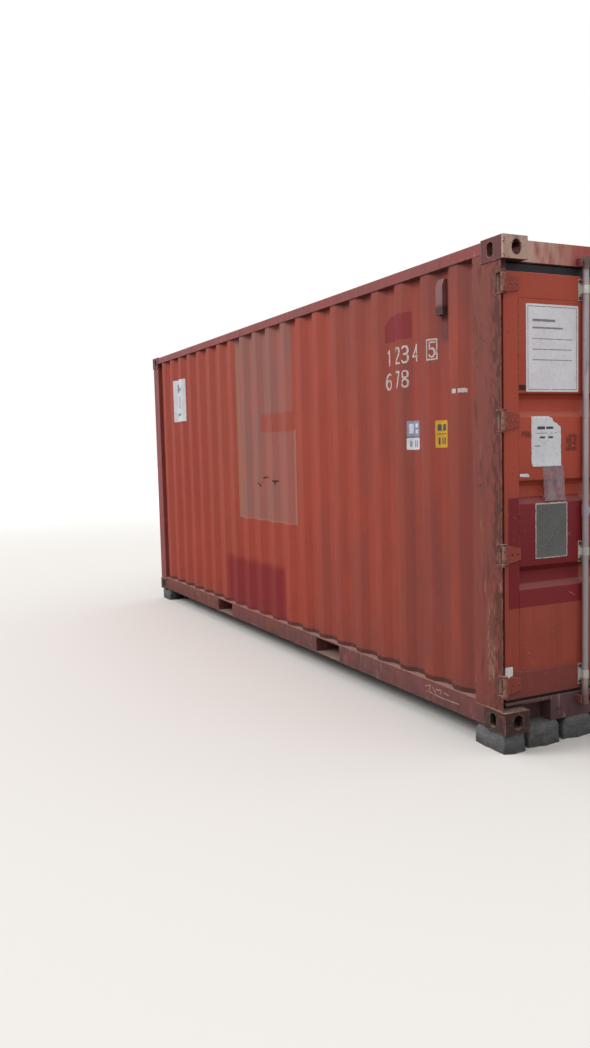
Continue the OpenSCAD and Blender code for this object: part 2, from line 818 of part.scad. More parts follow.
// Rubber gasket behind the leaf's edge, with fins above, below and in the middle
module door_gasket(right) {
    back = leaf_back + slack;
    e0 = leaf_edge;
    e1 = half_w - leaf_middle;
    fin_e = e0 + fin_corner;
    color(rubber_black) on_blocks() to_side(right) {
        difference() {
            left_block(back, back + gasket_t - slack, e0, e1, leaf_z0, leaf_z1);
            left_block(back - 1, back + gasket_t, e0 + gasket_w, e1 - gasket_w,
                       leaf_z0 + gasket_w, leaf_z1 - gasket_w);
        }
        left_block(leaf_back - fin_t, back + gasket_t - slack, fin_e, e1,
                   leaf_z1 + slack, leaf_z1 + fin_top);
        left_block(leaf_back - fin_t, back + gasket_t - slack, fin_e, e1,
                   leaf_z0 - fin_bottom, leaf_z0 - slack);
        left_block(leaf_back - fin_t, back + gasket_t - slack, e1 + slack, half_w - fin_middle,
                   leaf_z0 - fin_bottom, leaf_z1 + fin_top);
    }
}

// Places its children at a lock bar's axis, seen from the door end
module at_bar(side_e) {
    translate([from_door(bar_d), from_left(side_e), 0]) children();
}

function bar_side(inner) = inner ? half_w - inner_bar_middle : outer_bar_side;
function handle_z(inner) = inner ? inner_handle_z : outer_handle_z;
function handle_way(inner) = inner ? -1 : 1;

// Lock bar: round bar, a cam at each end, and a handle in its hub
module lock_bar(right, inner) {
    way = handle_way(inner);
    color(galvanised) on_blocks() to_side(right) at_bar(bar_side(inner)) {
        translate([0, 0, bar_z0]) cylinder(r = bar_r, h = bar_z1 - bar_z0);
        for (z = [bar_z0, bar_z1 - cam_h]) translate([0, 0, z]) cam_shape();
        translate([0, 0, handle_z(inner) - hub_h / 2]) cylinder(r = cam_r, h = hub_h);
        translate([0, 0, handle_z(inner) - handle_h / 2]) handle_shape(way);
    }
}

// Cam: a round boss with two noses that face the keeper
module cam_shape() {
    cylinder(r = cam_r, h = cam_h);
    for (z = [cam_nose, cam_h - 2 * cam_nose])
        translate([-cam_reach, -cam_nose / 2, z]) cube([cam_reach, cam_nose, cam_nose]);
}

// Handle: a flat bar cranked away from the door, ending in a turned grip
module handle_shape(way) {
    linear_extrude(height = handle_h)
        mirror([0, way < 0 ? 1 : 0])
            polygon([[-handle_t / 2, 0], [handle_t / 2, 0],
                     [handle_t / 2, crank_from], [handle_out + handle_t / 2, crank_to],
                     [handle_out + handle_t / 2, handle_l], [handle_out - handle_t / 2, handle_l],
                     [handle_out - handle_t / 2, crank_to], [-handle_t / 2, crank_from]]);
}

// Guides that hold a bar to the leaf, and the rests under the handles
module bar_brackets(right) {
    color(galvanised) on_blocks() to_side(right)
        for (inner = [false, true]) at_bar(bar_side(inner)) {
            for (z = guide_heights) translate([0, 0, z]) guide_shape();
            translate([0, handle_way(inner) * rest_along, handle_z(inner)]) rest_shape();
        }
}

// Strap over the bar on a plate
module guide_shape() {
    difference() {
        union() {
            block([-bar_out, -guide_w / 2, -guide_h / 2],
                  [-bar_out + guide_plate_t, guide_w / 2, guide_h / 2]);
            translate([0, 0, -strap_h / 2]) cylinder(r = strap_r, h = strap_h);
            block([-bar_out + guide_plate_t / 2, -strap_side, -strap_h / 2],
                  [0, strap_side, strap_h / 2]);
        }
        translate([0, 0, -guide_h]) cylinder(r = bar_r + bar_play, h = 2 * guide_h);
    }
}

// Plate with a ledge that stops under the handle
module rest_shape() {
    low = -handle_h / 2 - moving_gap;
    block([-bar_out, -rest_w / 2, low - rest_margin],
          [-bar_out + guide_plate_t, rest_w / 2, handle_h / 2 + rest_margin]);
    block([-bar_out, -rest_w / 2, low - guide_plate_t], [handle_out + handle_t, rest_w / 2, low]);
}

// Two cheeks welded to the end frame, one on each side of a cam
module keeper_shape() {
    back = header_face - bar_d;
    for (s = [-1, 1])
        block([-back, s > 0 ? keeper_room : -keeper_room - keeper_t, 0],
              [keeper_front, s > 0 ? keeper_room + keeper_t : -keeper_room, keeper_h]);
}

module lock_keepers() {
    color(dark_paint) on_blocks()
        for (right = [false, true], inner = [false, true]) to_side(right)
            at_bar(bar_side(inner)) {
                translate([0, 0, bar_z0 + (cam_h - keeper_h) / 2]) keeper_shape();
                translate([0, 0, bar_z1 - (cam_h + keeper_h) / 2]) keeper_shape();
            }
}

// One broken lump: a plan outline cut by a side outline
module lump(e0, e1, d0, d1, h, skew) {
    w = d1 - d0;
    l = e1 - e0;
    intersection() {
        translate([from_door(d1), from_left(e0), 0])
            linear_extrude(height = h)
                polygon([[w * 0.06, l * 0.10], [w * 0.45, 0], [w * 0.92, l * 0.05], [w, l * 0.42],
                         [w * 0.95, l * 0.93], [w * 0.6, l], [w * 0.12, l * 0.96], [0, l * 0.5]]);
        translate([from_door(d1), from_left(e0), 0])
            rotate([90, 0, 90]) linear_extrude(height = w)
                polygon([[l * 0.03, 0], [l * 0.97, 0], [l, h * 0.5], [l * (0.94 - skew), h],
                         [l * (0.06 + skew), h], [0, h * 0.4]]);
    }
}

// Row of lumps across the container, squared off under the castings
module concrete_row() {
    inner_e0 = casting_w + lump_gap;
    run = half_w - inner_e0 - lump_gap / 2;
    step = run / lumps_a_side;
    for (right = [false, true]) to_side(right) {
        lump(0, casting_w, 0, block_row_w, block_h, 0.02);
        for (i = [0 : lumps_a_side - 1])
            lump(inner_e0 + i * step, inner_e0 + (i + 1) * step - lump_gap,
                 lump_shift * (1 + i % 2), block_row_w - lump_shift * (2 - i % 2), block_h + rail_z0,
                 0.04 + 0.03 * (i % 2));
    }
}

module concrete_door_end() {
    color(concrete_grey) concrete_row();
}

module concrete_closed_end() {
    color(concrete_grey) to_end(true) concrete_row();
}

casting(false, false, true);  // casting_door_left_top
casting(false, true, true);  // casting_door_right_top
casting(false, false, false);  // casting_door_left_bottom
casting(false, true, false);  // casting_door_right_bottom
casting(true, false, true);  // casting_end_left_top
casting(true, true, true);  // casting_end_right_top
casting(true, false, false);  // casting_end_left_bottom
casting(true, true, false);  // casting_end_right_bottom
door_post(false);  // door_post_left
door_post(true);  // door_post_right
end_post(false);  // end_post_left
end_post(true);  // end_post_right
door_header();
door_sill();
end_header();
end_sill();
top_rail(false);  // top_rail_left
top_rail(true);  // top_rail_right
bottom_rail(false);  // bottom_rail_left
bottom_rail(true);  // bottom_rail_right
side_wall(false);  // side_wall_left
side_wall(true);  // side_wall_right
end_wall();
roof();
floor_sheets();  // floor
cross_members();
forklift_pockets();
ventilators();
hinge_lugs();
lock_keepers();
concrete_door_end();
concrete_closed_end();
door_frame(false);  // door_frame_left
door_panel(false);  // door_panel_left
door_gasket(false);  // door_gasket_left
hinge_blades(false);  // hinge_blades_left
bar_brackets(false);  // bar_brackets_left
door_frame(true);  // door_frame_right
door_panel(true);  // door_panel_right
door_gasket(true);  // door_gasket_right
hinge_blades(true);  // hinge_blades_right
bar_brackets(true);  // bar_brackets_right
lock_bar(false, false);  // lock_bar_left_outer
lock_bar(false, true);  // lock_bar_left_inner
lock_bar(true, false);  // lock_bar_right_outer
lock_bar(true, true);  // lock_bar_right_inner
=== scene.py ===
# %% [markdown]
# # A weathered freight container in procedural materials
#
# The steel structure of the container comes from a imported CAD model: every
# post, rail, ridged sheet, door leaf and lock bar already has its real size
# and place. This lesson dresses that model. It rounds the pressed folds,
# lays weld beads and fasteners where the pieces meet, puts on the stencilled
# numbers, plates and labels, breaks the concrete under it, and gives each
# surface a finish made only of nodes. Nothing here moves a CAD piece.

# %% Load the fixed frame
import math
import random

import bmesh
import bpy
from mathutils import Matrix, Vector, noise
from mathutils.bvhtree import BVHTree


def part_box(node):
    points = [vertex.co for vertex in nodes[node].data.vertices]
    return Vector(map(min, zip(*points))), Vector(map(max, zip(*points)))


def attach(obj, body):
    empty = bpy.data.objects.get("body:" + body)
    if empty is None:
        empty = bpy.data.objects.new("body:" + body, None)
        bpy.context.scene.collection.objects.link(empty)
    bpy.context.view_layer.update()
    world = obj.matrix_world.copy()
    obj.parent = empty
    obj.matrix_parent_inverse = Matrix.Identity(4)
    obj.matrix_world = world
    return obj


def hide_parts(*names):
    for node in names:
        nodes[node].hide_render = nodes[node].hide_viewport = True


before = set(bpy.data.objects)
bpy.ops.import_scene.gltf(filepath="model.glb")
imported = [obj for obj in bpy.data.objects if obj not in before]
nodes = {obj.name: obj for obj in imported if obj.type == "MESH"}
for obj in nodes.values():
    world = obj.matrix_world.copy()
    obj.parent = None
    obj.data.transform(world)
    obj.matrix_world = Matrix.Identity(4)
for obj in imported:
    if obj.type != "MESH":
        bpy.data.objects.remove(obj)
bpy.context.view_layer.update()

MM = 0.001

# %% [markdown]
# ## Two datum planes
#
# Positions on a container are read from the door end and from the left side,
# in millimetres, and heights from the foot of the corner castings. These
# helpers turn such a reading into the frame's metres, for a point or for the
# corners of a box. The height of the concrete under the castings is read from
# the frame.

# %% Datum planes
door_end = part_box("casting_door_left_top")[1].x
side_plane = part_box("casting_door_left_top")[0].y
steel_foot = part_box("casting_door_left_bottom")[0].z
leaf_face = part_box("door_frame_left")[1].x


def from_side(distance_mm):
    return side_plane + distance_mm * MM


def height(over_foot_mm):
    return steel_foot + over_foot_mm * MM


def wall_box(x0, z0, x1, z1):
    """Corners on a wall from places along it in metres and heights in millimetres."""
    return (x0, height(z0), x1, height(z1))


def door_box(e0, z0, e1, z1):
    """Corners on the leaf from distances off the left side and heights, in millimetres."""
    return (from_side(e0), height(z0), from_side(e1), height(z1))


def stand(name, data):
    """Puts a camera, a light or a mesh into the scene as an object."""
    made = bpy.data.objects.new(name, data)
    bpy.context.scene.collection.objects.link(made)
    return made


print("door face is", round((door_end - leaf_face) / MM), "mm inside the door end")

# %% [markdown]
# ## The camera of the photograph
#
# A phone held upright stood off the left rear corner. Fitting the known
# corners of a standard container to the picture gave the eye, the heading,
# the slight downward pitch, the roll and the angle of view. The picture is
# taller than wide, so Blender's automatic sensor fit measures the lens on
# the tall side.

# %% Camera
EYE = Vector((6.600, -4.143, 1.533 + steel_foot))
HEADING, PITCH, ROLL = (math.radians(a) for a in (154.2275, -4.8496, -1.5026))
LENS_MM = 29.96


def aim_camera():
    """Makes the camera from the fitted eye point and angles."""
    data = bpy.data.cameras.new("phone_camera")
    data.sensor_width = 36.0
    data.lens = LENS_MM
    camera = stand("phone_camera", data)
    ahead = Vector((math.cos(HEADING) * math.cos(PITCH),
                    math.sin(HEADING) * math.cos(PITCH), math.sin(PITCH)))
    level = ahead.cross(Vector((0, 0, 1))).normalized()
    above = level.cross(ahead)
    right = level * math.cos(ROLL) + above * math.sin(ROLL)
    up = above * math.cos(ROLL) - level * math.sin(ROLL)
    camera.matrix_world = Matrix.Translation(EYE) @ Matrix((right, up, -ahead)).transposed().to_4x4()
    bpy.context.scene.camera = camera
    bpy.context.scene.view_settings.view_transform = "Standard"
    print("camera stands", round((EYE - Vector((door_end, side_plane, EYE.z))).length, 2),
          "m from the near corner")


aim_camera()

# %% [markdown]
# ## Colour and nodes
#
# A shader works in linear light, while a colour card and a hex code are sRGB.
# One function does the change for every colour in this lesson. A second one
# adds a node: it takes anything that already stands in the tree, the node's
# kind, what goes into its sockets, either a number or another node's output,
# and its settings.

# %% Colour and node helpers
def srgb(code):
    """Linear colour of an sRGB hex code such as 9c493a."""
    channels = (int(code[i:i + 2], 16) / 255 for i in (0, 2, 4))
    linear = [c / 12.92 if c <= 0.04045 else ((c + 0.055) / 1.055) ** 2.4 for c in channels]
    return (*linear, 1.0)


def node(beside, kind, inputs=(), **settings):
    """Adds a node to the tree that something already stands in, and fills or links its sockets."""
    tree = beside.id_data
    made = tree.nodes.new("ShaderNode" + kind)
    for name, value in settings.items():
        setattr(made, name, value)
    for socket, value in dict(inputs).items():
        if isinstance(value, bpy.types.NodeSocket):
            tree.links.new(value, made.inputs[socket])
        else:
            made.inputs[socket].default_value = value
    return made


def start_material(name, **shader_sockets):
    """A new material, its main shader and the place on the object."""
    material = bpy.data.materials.new(name)
    material.use_nodes = True
    tree = material.node_tree
    tree.nodes.clear()
    shader = node(tree, "BsdfPrincipled", shader_sockets)
    node(tree, "OutputMaterial", {"Surface": shader.outputs["BSDF"]})
    place = node(tree, "TexCoord").outputs["Object"]
    return material, shader, place


# %% [markdown]
# ## Masks: where a layer of wear lies
#
# Old paint is read in layers: sound paint, chalking, a repaint, dirt, rust.
# Each layer needs a mask. `patchy` thresholds a noise whose grain is a real
# size in millimetres, stretched along an axis to make runs. `area` is a
# rectangle masked off with tape, with an edge as soft as a spray gun leaves
# it. `times`, `plus` and `less` reckon with masks as with numbers. `stack` then
# lays the layers over each other, colour and roughness together, in the order
# a painter and the weather put them on.

# %% Mask helpers
def patchy(place, size_mm, low, high, tall=1, stretch=None, shift=0.0, detail=4.0):
    """Blotches of a real size: 0 under the low noise level, 1 over the high one.

    tall is how many times taller than wide they are; stretch gives all three axes.
    """
    scale = [1 / (size_mm * MM * s) for s in stretch or (1, 1, tall)]
    moved = node(place, "Mapping", {"Vector": place, "Location": (shift, shift * 1.7, shift * 0.6),
                                    "Scale": scale})
    cloud = node(place, "TexNoise", {"Vector": moved.outputs["Vector"], "Scale": 1.0,
                                     "Detail": detail, "Roughness": 0.6})
    return level_mask(cloud.outputs["Fac"], low, high)


def level_mask(value, start, end):
    """Smooth step of a value from 0 at the start to 1 at the end."""
    return node(value, "MapRange", {"Value": value, "From Min": start, "From Max": end},
                interpolation_type="SMOOTHSTEP").outputs["Result"]


def combine(operation, first, second):
    """Two masks put together and kept between 0 and 1. One of them may be a number."""
    beside = second if isinstance(second, bpy.types.NodeSocket) else first
    return node(beside, "Math", {0: first, 1: second}, operation=operation,
                use_clamp=True).outputs["Value"]


def times(first, *others):
    """Masks and shares multiplied."""
    for other in others:
        first = combine("MULTIPLY", first, other)
    return first


def plus(first, second):
    return combine("ADD", first, second)


def less(first, second):
    return combine("SUBTRACT", first, second)


def axis_of(place, axis):
    """One coordinate of a place, in metres."""
    return node(place, "SeparateXYZ", {"Vector": place}).outputs[axis]


def along(place, axis, start, end):
    """Smooth step along one axis, from 0 at the start to 1 at the end."""
    return level_mask(axis_of(place, axis), start, end)


def rising(place, start_mm, end_mm):
    """Smooth step between two heights over the castings' foot."""
    return along(place, "Z", height(start_mm), height(end_mm))


def outer_only(place, axis, way, layers):
    """The layers kept off the inside skin, told by the piece's own normal along an axis."""
    normal = node(place, "TexCoord").outputs["Normal"]
    skin = level_mask(axis_of(normal, axis), -0.3 * way, -0.1 * way)
    return [(times(mask, skin), *rest) for mask, *rest in layers]


def area(place, corners, edge_mm, axes="XZ"):
    """Rectangle between two corners, in metres along two axes, soft at its edge."""
    mask = 1.0
    half = edge_mm * MM / 2
    for axis, start, end in zip(axes, corners[:2], corners[2:]):
        spot = axis_of(place, axis)
        rise = level_mask(spot, start - half, start + half)
        fall = level_mask(spot, end + half, end - half)
        mask = times(mask, times(rise, fall))
    return mask


def stack(shader, base, roughness, layers):
    """Lays (mask, share, sRGB hex, roughness) layers over a base that covers all."""
    colour = srgb(base)
    for mask, share, code, next_roughness in layers:
        mask = mask if share == 1 else times(mask, share)
        over = node(shader, "Mix", {0: mask, 6: colour, 7: srgb(code)}, data_type="RGBA")
        gloss = node(shader, "Mix", {0: mask, 2: roughness, 3: next_roughness})
        colour, roughness = over.outputs[2], gloss.outputs[0]
    shader.id_data.links.new(colour, shader.inputs["Base Color"])
    shader.id_data.links.new(roughness, shader.inputs["Roughness"])


def relief(shader, heights):
    """Bump from a list of (height socket, depth in millimetres)."""
    normal = None
    for height_socket, depth_mm in heights:
        sockets = {"Height": height_socket, "Distance": depth_mm * MM, "Strength": 1.0}
        if normal is not None:
            sockets["Normal"] = normal
        normal = node(shader, "Bump", sockets).outputs["Normal"]
    shader.id_data.links.new(normal, shader.inputs["Normal"])


# %% [markdown]
# ## Oxide red container paint
#
# The steel is shot blasted and sprayed with zinc primer and a matt oxide red
# alkyd coat. Years of sun leave it chalky and uneven: warm red on the ridges,
# pink where it faces the sky, darker runs down from the rails and rust blooms
# where gravel chipped it. The film is a dielectric, so metallic stays at 0,
# the IOR stays at 1.5 and the roughness is high.

# %% Paint colours
OXIDE_RED = "a53b27"
CHALKED_RED = "a74d39"
DEEP_RED = "742b22"
CRIMSON = "82101b"
FADED_BROWN = "a45f55"
RUST = "43241a"
RUST_RUN = "5e2c1c"
GRIME = "43302c"
PRIMER = "bfa392"
DUST = "a88a7e"


def edge_wear(place, radius_mm=5.0):
    """Where a corner of the steel is rubbed: the normal turns there within a few millimetres."""
    soft = node(place, "Bevel", {"Radius": radius_mm * MM}, samples=4)
    true = node(place, "NewGeometry")
    turn = node(place, "VectorMath", {0: soft.outputs["Normal"], 1: true.outputs["Normal"]},
                operation="DOT_PRODUCT")
    edge = level_mask(turn.outputs["Value"], 0.985, 0.90)
    return times(edge, patchy(place, 28, 0.40, 0.56, shift=4.9, detail=6.0))


def aged_paint(name, base=OXIDE_RED, chalk=0.5, runs=0.35, rust=0.5, grime=0.5, foot_mm=450,
               worn_edge=0.0, patches=None):
    """Sprayed alkyd paint on steel: fading, runs, rust spots and grime near the foot.

    chalk, runs, rust, grime and worn_edge are shares from 0 to 1, and foot_mm is
    how high the splashed dirt reaches over the foot of the castings.
    """
    material, shader, place = start_material(name, IOR=1.5, Metallic=0.0)
    fade = patchy(place, 700, 0.40, 0.72, tall=2.5)
    cloud = patchy(place, 130, 0.35, 0.75, shift=3.1)
    streaks = patchy(place, 30, 0.46, 0.78, tall=28, shift=7.7)
    level = 0.76 - 0.10 * rust
    specks = patchy(place, 13, level, level + 0.03, shift=1.3, detail=2.0)
    spots = patchy(place, 48, level + 0.02, level + 0.05, shift=5.9, detail=6.0)
    drips = patchy(place, 17, 0.60, 0.80, tall=16, shift=11.0)
    up = axis_of(node(place, "NewGeometry").outputs["Normal"], "Z")
    top = level_mask(up, 0.5, 0.95)
    foot = rising(place, foot_mm, -40)
    splash = times(foot, patchy(place, 80, 0.25, 0.70, tall=2))
    layers = [(fade, chalk, CHALKED_RED, 0.72),
              (cloud, 0.18, DEEP_RED, 0.56),
              (streaks, runs, DEEP_RED, 0.66)]
    if patches is not None:
        layers += patches(place)
    marks = plus(specks, spots)
    if worn_edge > 0:
        layers.append((edge_wear(place), worn_edge, PRIMER, 0.70))
    layers += [(splash, grime, GRIME, 0.80),
               (drips, 0.30 * rust, RUST_RUN, 0.74),
               (top, 0.55, DUST, 0.85),
               (marks, 0.9, RUST, 0.86)]
    stack(shader, base, 0.60, layers)
    grain = node(place, "TexNoise", {"Vector": place, "Scale": 380.0, "Detail": 3.0})
    relief(shader, [(cloud, 0.3), (marks, 0.5), (grain.outputs["Fac"], 0.08)])
    return material


# %% [markdown]
# ## The left wall's history
#
# The left side was touched up by hand. A tall grey brown field runs from the
# top rail down, with a redder band left across it. Low on the wall somebody
# sprayed crimson with a wide soft edge, and covered a small square above the
# numbers with the same colour.

# %% Painted fields of the left wall
def left_wall_patches(place):
    """Touched up fields on the left wall, with painted shadow along the rails and under the ventilator, as
    layers for the paint.
    """
    left, foot_mm = -0.658, 949
    field = combine("MAXIMUM", area(place, wall_box(left, foot_mm, 0.470, 2600), 8),
                    area(place, wall_box(left, foot_mm, 0.503, 1690), 8))
    inner = area(place, wall_box(-0.618, 960, 0.478, 2700), 14)
    rim = less(field, inner)
    band = area(place, wall_box(-0.120, 1682, 0.55, 1833), 14)
    worn = patchy(place, 60, 0.30, 0.55, tall=3, shift=4.4)
    field = times(field, plus(worn, 0.72))
    field = less(field, times(band, 0.75))
    cloudy = patchy(place, 220, 0.20, 0.50, shift=9.2)
    sprayed = times(area(place, wall_box(-0.96, 140, 0.25, 582), 90), plus(cloudy, 0.55))
    left_edge, slant_foot_mm = 1.846, 2300
    square = area(place, wall_box(left_edge, 2184, 2.140, 2342), 8)
    slant = node(place, "Math", {0: axis_of(place, "X"), 1: axis_of(place, "Z")},
                 operation="SUBTRACT").outputs["Value"]
    corner = left_edge - height(slant_foot_mm)
    square = times(square, level_mask(slant, corner, corner + 0.012))
    shaded = times(along(place, "X", 0.9, 2.9), patchy(place, 320, 0.25, 0.60, tall=4, shift=13.0))
    # Dark streaks under the ventilator: drip stains and the painted shadow of its hood.
    vent_drips_and_shadow = times(area(place, wall_box(2.43, 2130, 2.51, 2280), 60),
                     patchy(place, 25, 0.30, 0.55, tall=8, shift=8.1))
    # Dark lines at the wall's foot and just under the top rail: painted shadow of the rails.
    rail_shadow = plus(rising(place, 178, 165), rising(place, 2505, 2520))
    warm = patchy(place, 900, 0.42, 0.62, tall=1.6, shift=21.0, detail=3.0)
    mauve = times(along(place, "X", 0.2, 1.4),
                  patchy(place, 420, 0.42, 0.62, tall=3.0, shift=27.0, detail=3.0))
    greyer = times(field, patchy(place, 170, 0.38, 0.58, tall=4.0, shift=17.0, detail=3.0))
    layers = [(warm, 0.5, "a8422a", 0.6),
              (mauve, 0.5, "7e3d37", 0.66),
              (shaded, 0.75, "75382f", 0.68),
              (rail_shadow, 0.85, "3d1d19", 0.8),
              (vent_drips_and_shadow, 0.7, GRIME, 0.8),
              (field, 0.9, FADED_BROWN, 0.76),
              (greyer, 0.6, "8b6459", 0.78),
              (rim, 0.55, "a9765d", 0.78),
              (sprayed, 0.85, CRIMSON, 0.66),
              (square, 0.92, CRIMSON, 0.62)]
    return outer_only(place, "Y", -1, layers)


wall_left_paint = aged_paint("left_wall_alkyd_paint_brushed_patches", patches=left_wall_patches)
wall_paint = aged_paint("wall_alkyd_paint_sprayed", chalk=0.6)
print("wall paints:", wall_left_paint.name, "and", wall_paint.name)

# %% [markdown]
# ## Posts, rails, castings and doors
#
# The corner posts and the castings take the knocks: slings, forks and other
# containers. Their paint is rubbed to primer and bare steel, then rusts. The
# leaves of the doors carry their own touched up field, as wide as the plates
# bolted over it.

# %% Frame paints
def knocked(primer=0.5, bare=0.5, z_high=3200):
    """Layers of scraped paint up to a height: scratches, primer showing and bare rusty steel."""
    def layers(place):
        scrape = patchy(place, 22, 0.60, 0.66, tall=7, shift=2.9, detail=6.0)
        chip = patchy(place, 38, 0.64, 0.68, shift=8.3, detail=8.0)
        wear = patchy(place, 420, 0.42, 0.58, tall=1.6, shift=6.1)
        zone = rising(place, z_high + 150, z_high - 150)
        pale = times(times(scrape, wear), zone)
        brown = patchy(place, 120, 0.45, 0.70, tall=3, shift=12.4, detail=6.0)
        return [(brown, bare * 0.6, "5f392e", 0.78),
                (pale, primer, PRIMER, 0.70),
                (chip, bare, RUST, 0.84)]
    return layers


GROOVE_LIPS = (882, 1340, 1798)


def leaf_patches(place):
    """The crimson field on the left leaf, a lighter upper part, the darker foot of both leaves, and
    painted shadow under the lips of the grooves.
    """
    field = area(place, door_box(63, 662, 583, 1251), 9, "YZ")
    low = area(place, wall_box(-2.0, 0, 2.0, 318), 30, "YZ")
    worn = patchy(place, 70, 0.22, 0.42, shift=3.7, detail=6.0)
    scuff = times(patchy(place, 14, 0.64, 0.68, stretch=(1, 3, 1), shift=6.6),
                  patchy(place, 260, 0.52, 0.62, shift=1.9))
    # A dark band just under each groove's upper lip: painted shadow.
    under = 0.0
    for lip in GROOVE_LIPS:
        under = plus(under, area(place, wall_box(-1.08, lip - 13, 1.08, lip), 6, "YZ"))
    high = rising(place, 1000, 1500)
    right_smear = area(place, door_box(455, 1490, 535, 1580), 20, "YZ")
    left_smear = area(place, door_box(150, 1565, 215, 1600), 16, "YZ")
    smears = plus(right_smear, left_smear)
    smears = times(smears, patchy(place, 26, 0.40, 0.50, shift=6.0, detail=7.0))
    layers = [(high, 0.8, "c54f38", 0.62),
              (smears, 0.7, "5c261f", 0.75),
              (low, 0.45, "66343a", 0.70),
              (times(field, plus(worn, 0.75)), 1, CRIMSON, 0.60),
              (scuff, 0.3, PRIMER, 0.72),
              (under, 0.45, "3a1c19", 0.8)]
    return outer_only(place, "X", 1, layers)


def post_streaks(place):
    """Torn paint low on the door posts and rusty bands beside the hinges."""
    layers = knocked(primer=0.35, bare=0.7, z_high=1500)(place)
    spot = axis_of(place, "X")
    beside = times(level_mask(spot, 2.900, 2.950),
                   patchy(place, 24, 0.42, 0.56, tall=2.5, shift=5.2, detail=9.0))
    column = times(level_mask(spot, 2.860, 2.900), level_mask(spot, 2.955, 2.925))
    reach = times(rising(place, 900, 450), rising(place, 240, 320))
    torn = times(column, reach)
    bared = times(torn, patchy(place, 85, 0.35, 0.55, tall=3, shift=3.3, detail=7.0))
    near_foot = rising(place, 540, 440)
    flecks = patchy(place, 6, 0.50, 0.58, tall=5, shift=9.4, detail=4.0)
    crowd = plus(patchy(place, 50, 0.50, 0.62, tall=4, shift=12.9), times(near_foot, 0.8))
    pale = times(times(torn, crowd), flecks)
    bled = patchy(place, 40, 0.54, 0.66, tall=5, shift=15.1, detail=8.0)
    layers += [(beside, 0.8, "4c2820", 0.78),
               (bled, 0.6, "5a2c22", 0.78),
               (bared, 0.75, "69412f", 0.78),
               (pale, 0.8, "b08a76", 0.72)]
    return layers


def casting_age(place):
    """Castings rubbed pale at the top of the container, black with dirt at its foot."""
    layers = knocked(primer=0.35, bare=0.9)(place)
    blotch = patchy(place, 60, 0.25, 0.55, tall=2, shift=7.9, detail=7.0)
    outer = along(place, "X", door_end - 0.012, door_end - 0.004)
    rubbed = times(outer, along(place, "Z", 2.3, 2.5))
    dirty = times(along(place, "Z", 0.5, 0.25), plus(blotch, 0.45))
    rusty = times(along(place, "Z", 0.6, 0.4), patchy(place, 34, 0.50, 0.58, shift=41.0, detail=6.0))
    reddened = times(rubbed, blotch)
    layers += [(times(rubbed, plus(blotch, 0.1)), 1, "dcb8a7", 0.7),
               (reddened, 0.16, "8e4a38", 0.75),
               (dirty, 0.92, "38231f", 0.85),
               (rusty, 0.6, "7a4a33", 0.82)]
    return layers


def knuckle_age(place):
    """Hinge knuckles rubbed to steel in spots where they turn, the blades still red."""
    spot = along(place, "X", door_end - 0.037, door_end - 0.030)
    side = node(place, "Math", {0: axis_of(place, "Y")}, operation="ABSOLUTE").outputs["Value"]
    turned = times(spot, level_mask(side, -side_plane - 0.036, -side_plane - 0.028))
    spots = patchy(place, 20, 0.45, 0.60, shift=4.8, detail=6.0)
    return [(turned, 0.35, "9a8a7e", 0.6),
            (times(turned, spots), 0.7, RUST_RUN, 0.8)]


def rail_age(place):
    """Bottom rails: redder towards the closed end, purple grey on the door sill."""
    spot = axis_of(place, "X")
    redder = level_mask(spot, 2.2, -1.5)
    sill = level_mask(spot, door_end - 0.16, door_end - 0.14)
    return [(redder, 0.7, "80382c", 0.68),
            (sill, 0.7, "5f4650", 0.72)] + knocked(0.4, 0.6)(place)


def vent_age(place):
    """Ventilator hoods: a pale dusty face over a darker foot, painted shade where the hood turns under."""
    # The lowest part of the hood is darkened: painted shade of its underside.
    low = rising(place, 2338, 2308)
    dusty = patchy(place, 45, 0.25, 0.60, tall=3, shift=2.6)
    return [(dusty, 0.75, "7e5c5c", 0.78),
            (low, 0.85, "3f2826", 0.85)]


def header_chalk(place):
    """Pale chalk on the left part of the door header, smeared downwards."""
    side = along(place, "Y", from_side(640), from_side(260))
    smear = patchy(place, 60, 0.30, 0.60, tall=4, shift=2.2)
    return [(times(side, smear), 0.95, "dfbcae", 0.8)]


post_paint = aged_paint("post_alkyd_paint_scraped", base="813d33", chalk=0.2, runs=0.45, rust=0.8,
                        worn_edge=0.7, patches=post_streaks)
frame_paint = aged_paint("frame_alkyd_paint_worn", base="8f4648", chalk=0.35, runs=0.3, rust=0.6,
                         worn_edge=0.6, patches=knocked(primer=0.3, bare=0.45))
header_paint = aged_paint("header_alkyd_paint_chalked", base="bb564b", chalk=0.6, runs=0.3, rust=0.6,
                          worn_edge=0.8, patches=header_chalk)
casting_paint = aged_paint("cast_steel_paint_rubbed_off", base="643233", chalk=0.05, rust=1.0,
                           grime=0.95, foot_mm=300, worn_edge=1.0, patches=casting_age)
underframe_paint = aged_paint("underframe_paint_dirty", base="704446", chalk=0.3, rust=0.8,
                              grime=0.8, foot_mm=240, worn_edge=0.6, patches=rail_age)
door_paint = aged_paint("door_alkyd_paint_touched_up", base="a64634", chalk=0.25, runs=0.4,
                        rust=0.65, worn_edge=0.35, patches=leaf_patches)
blade_paint = aged_paint("hinge_paint_rubbed", base="a04434", chalk=0.3, rust=0.8, worn_edge=0.5,
                         patches=knuckle_age)
vent_paint = aged_paint("ventilator_paint_dusty", base="86524a", chalk=0.4, rust=0.6, worn_edge=0.4,
                        patches=vent_age)
print("frame paints made")

# %% [markdown]
# ## Zinc, rubber, plywood and concrete
#
# Hot dip galvanised bars dull to a lilac grey: metal under a thin dielectric
# crust, so one mask drives metallic, roughness and colour together. The
# gasket is black EPDM rubber greyed by dust, the floor is marine plywood and
# the blocks are broken concrete with pale aggregate.

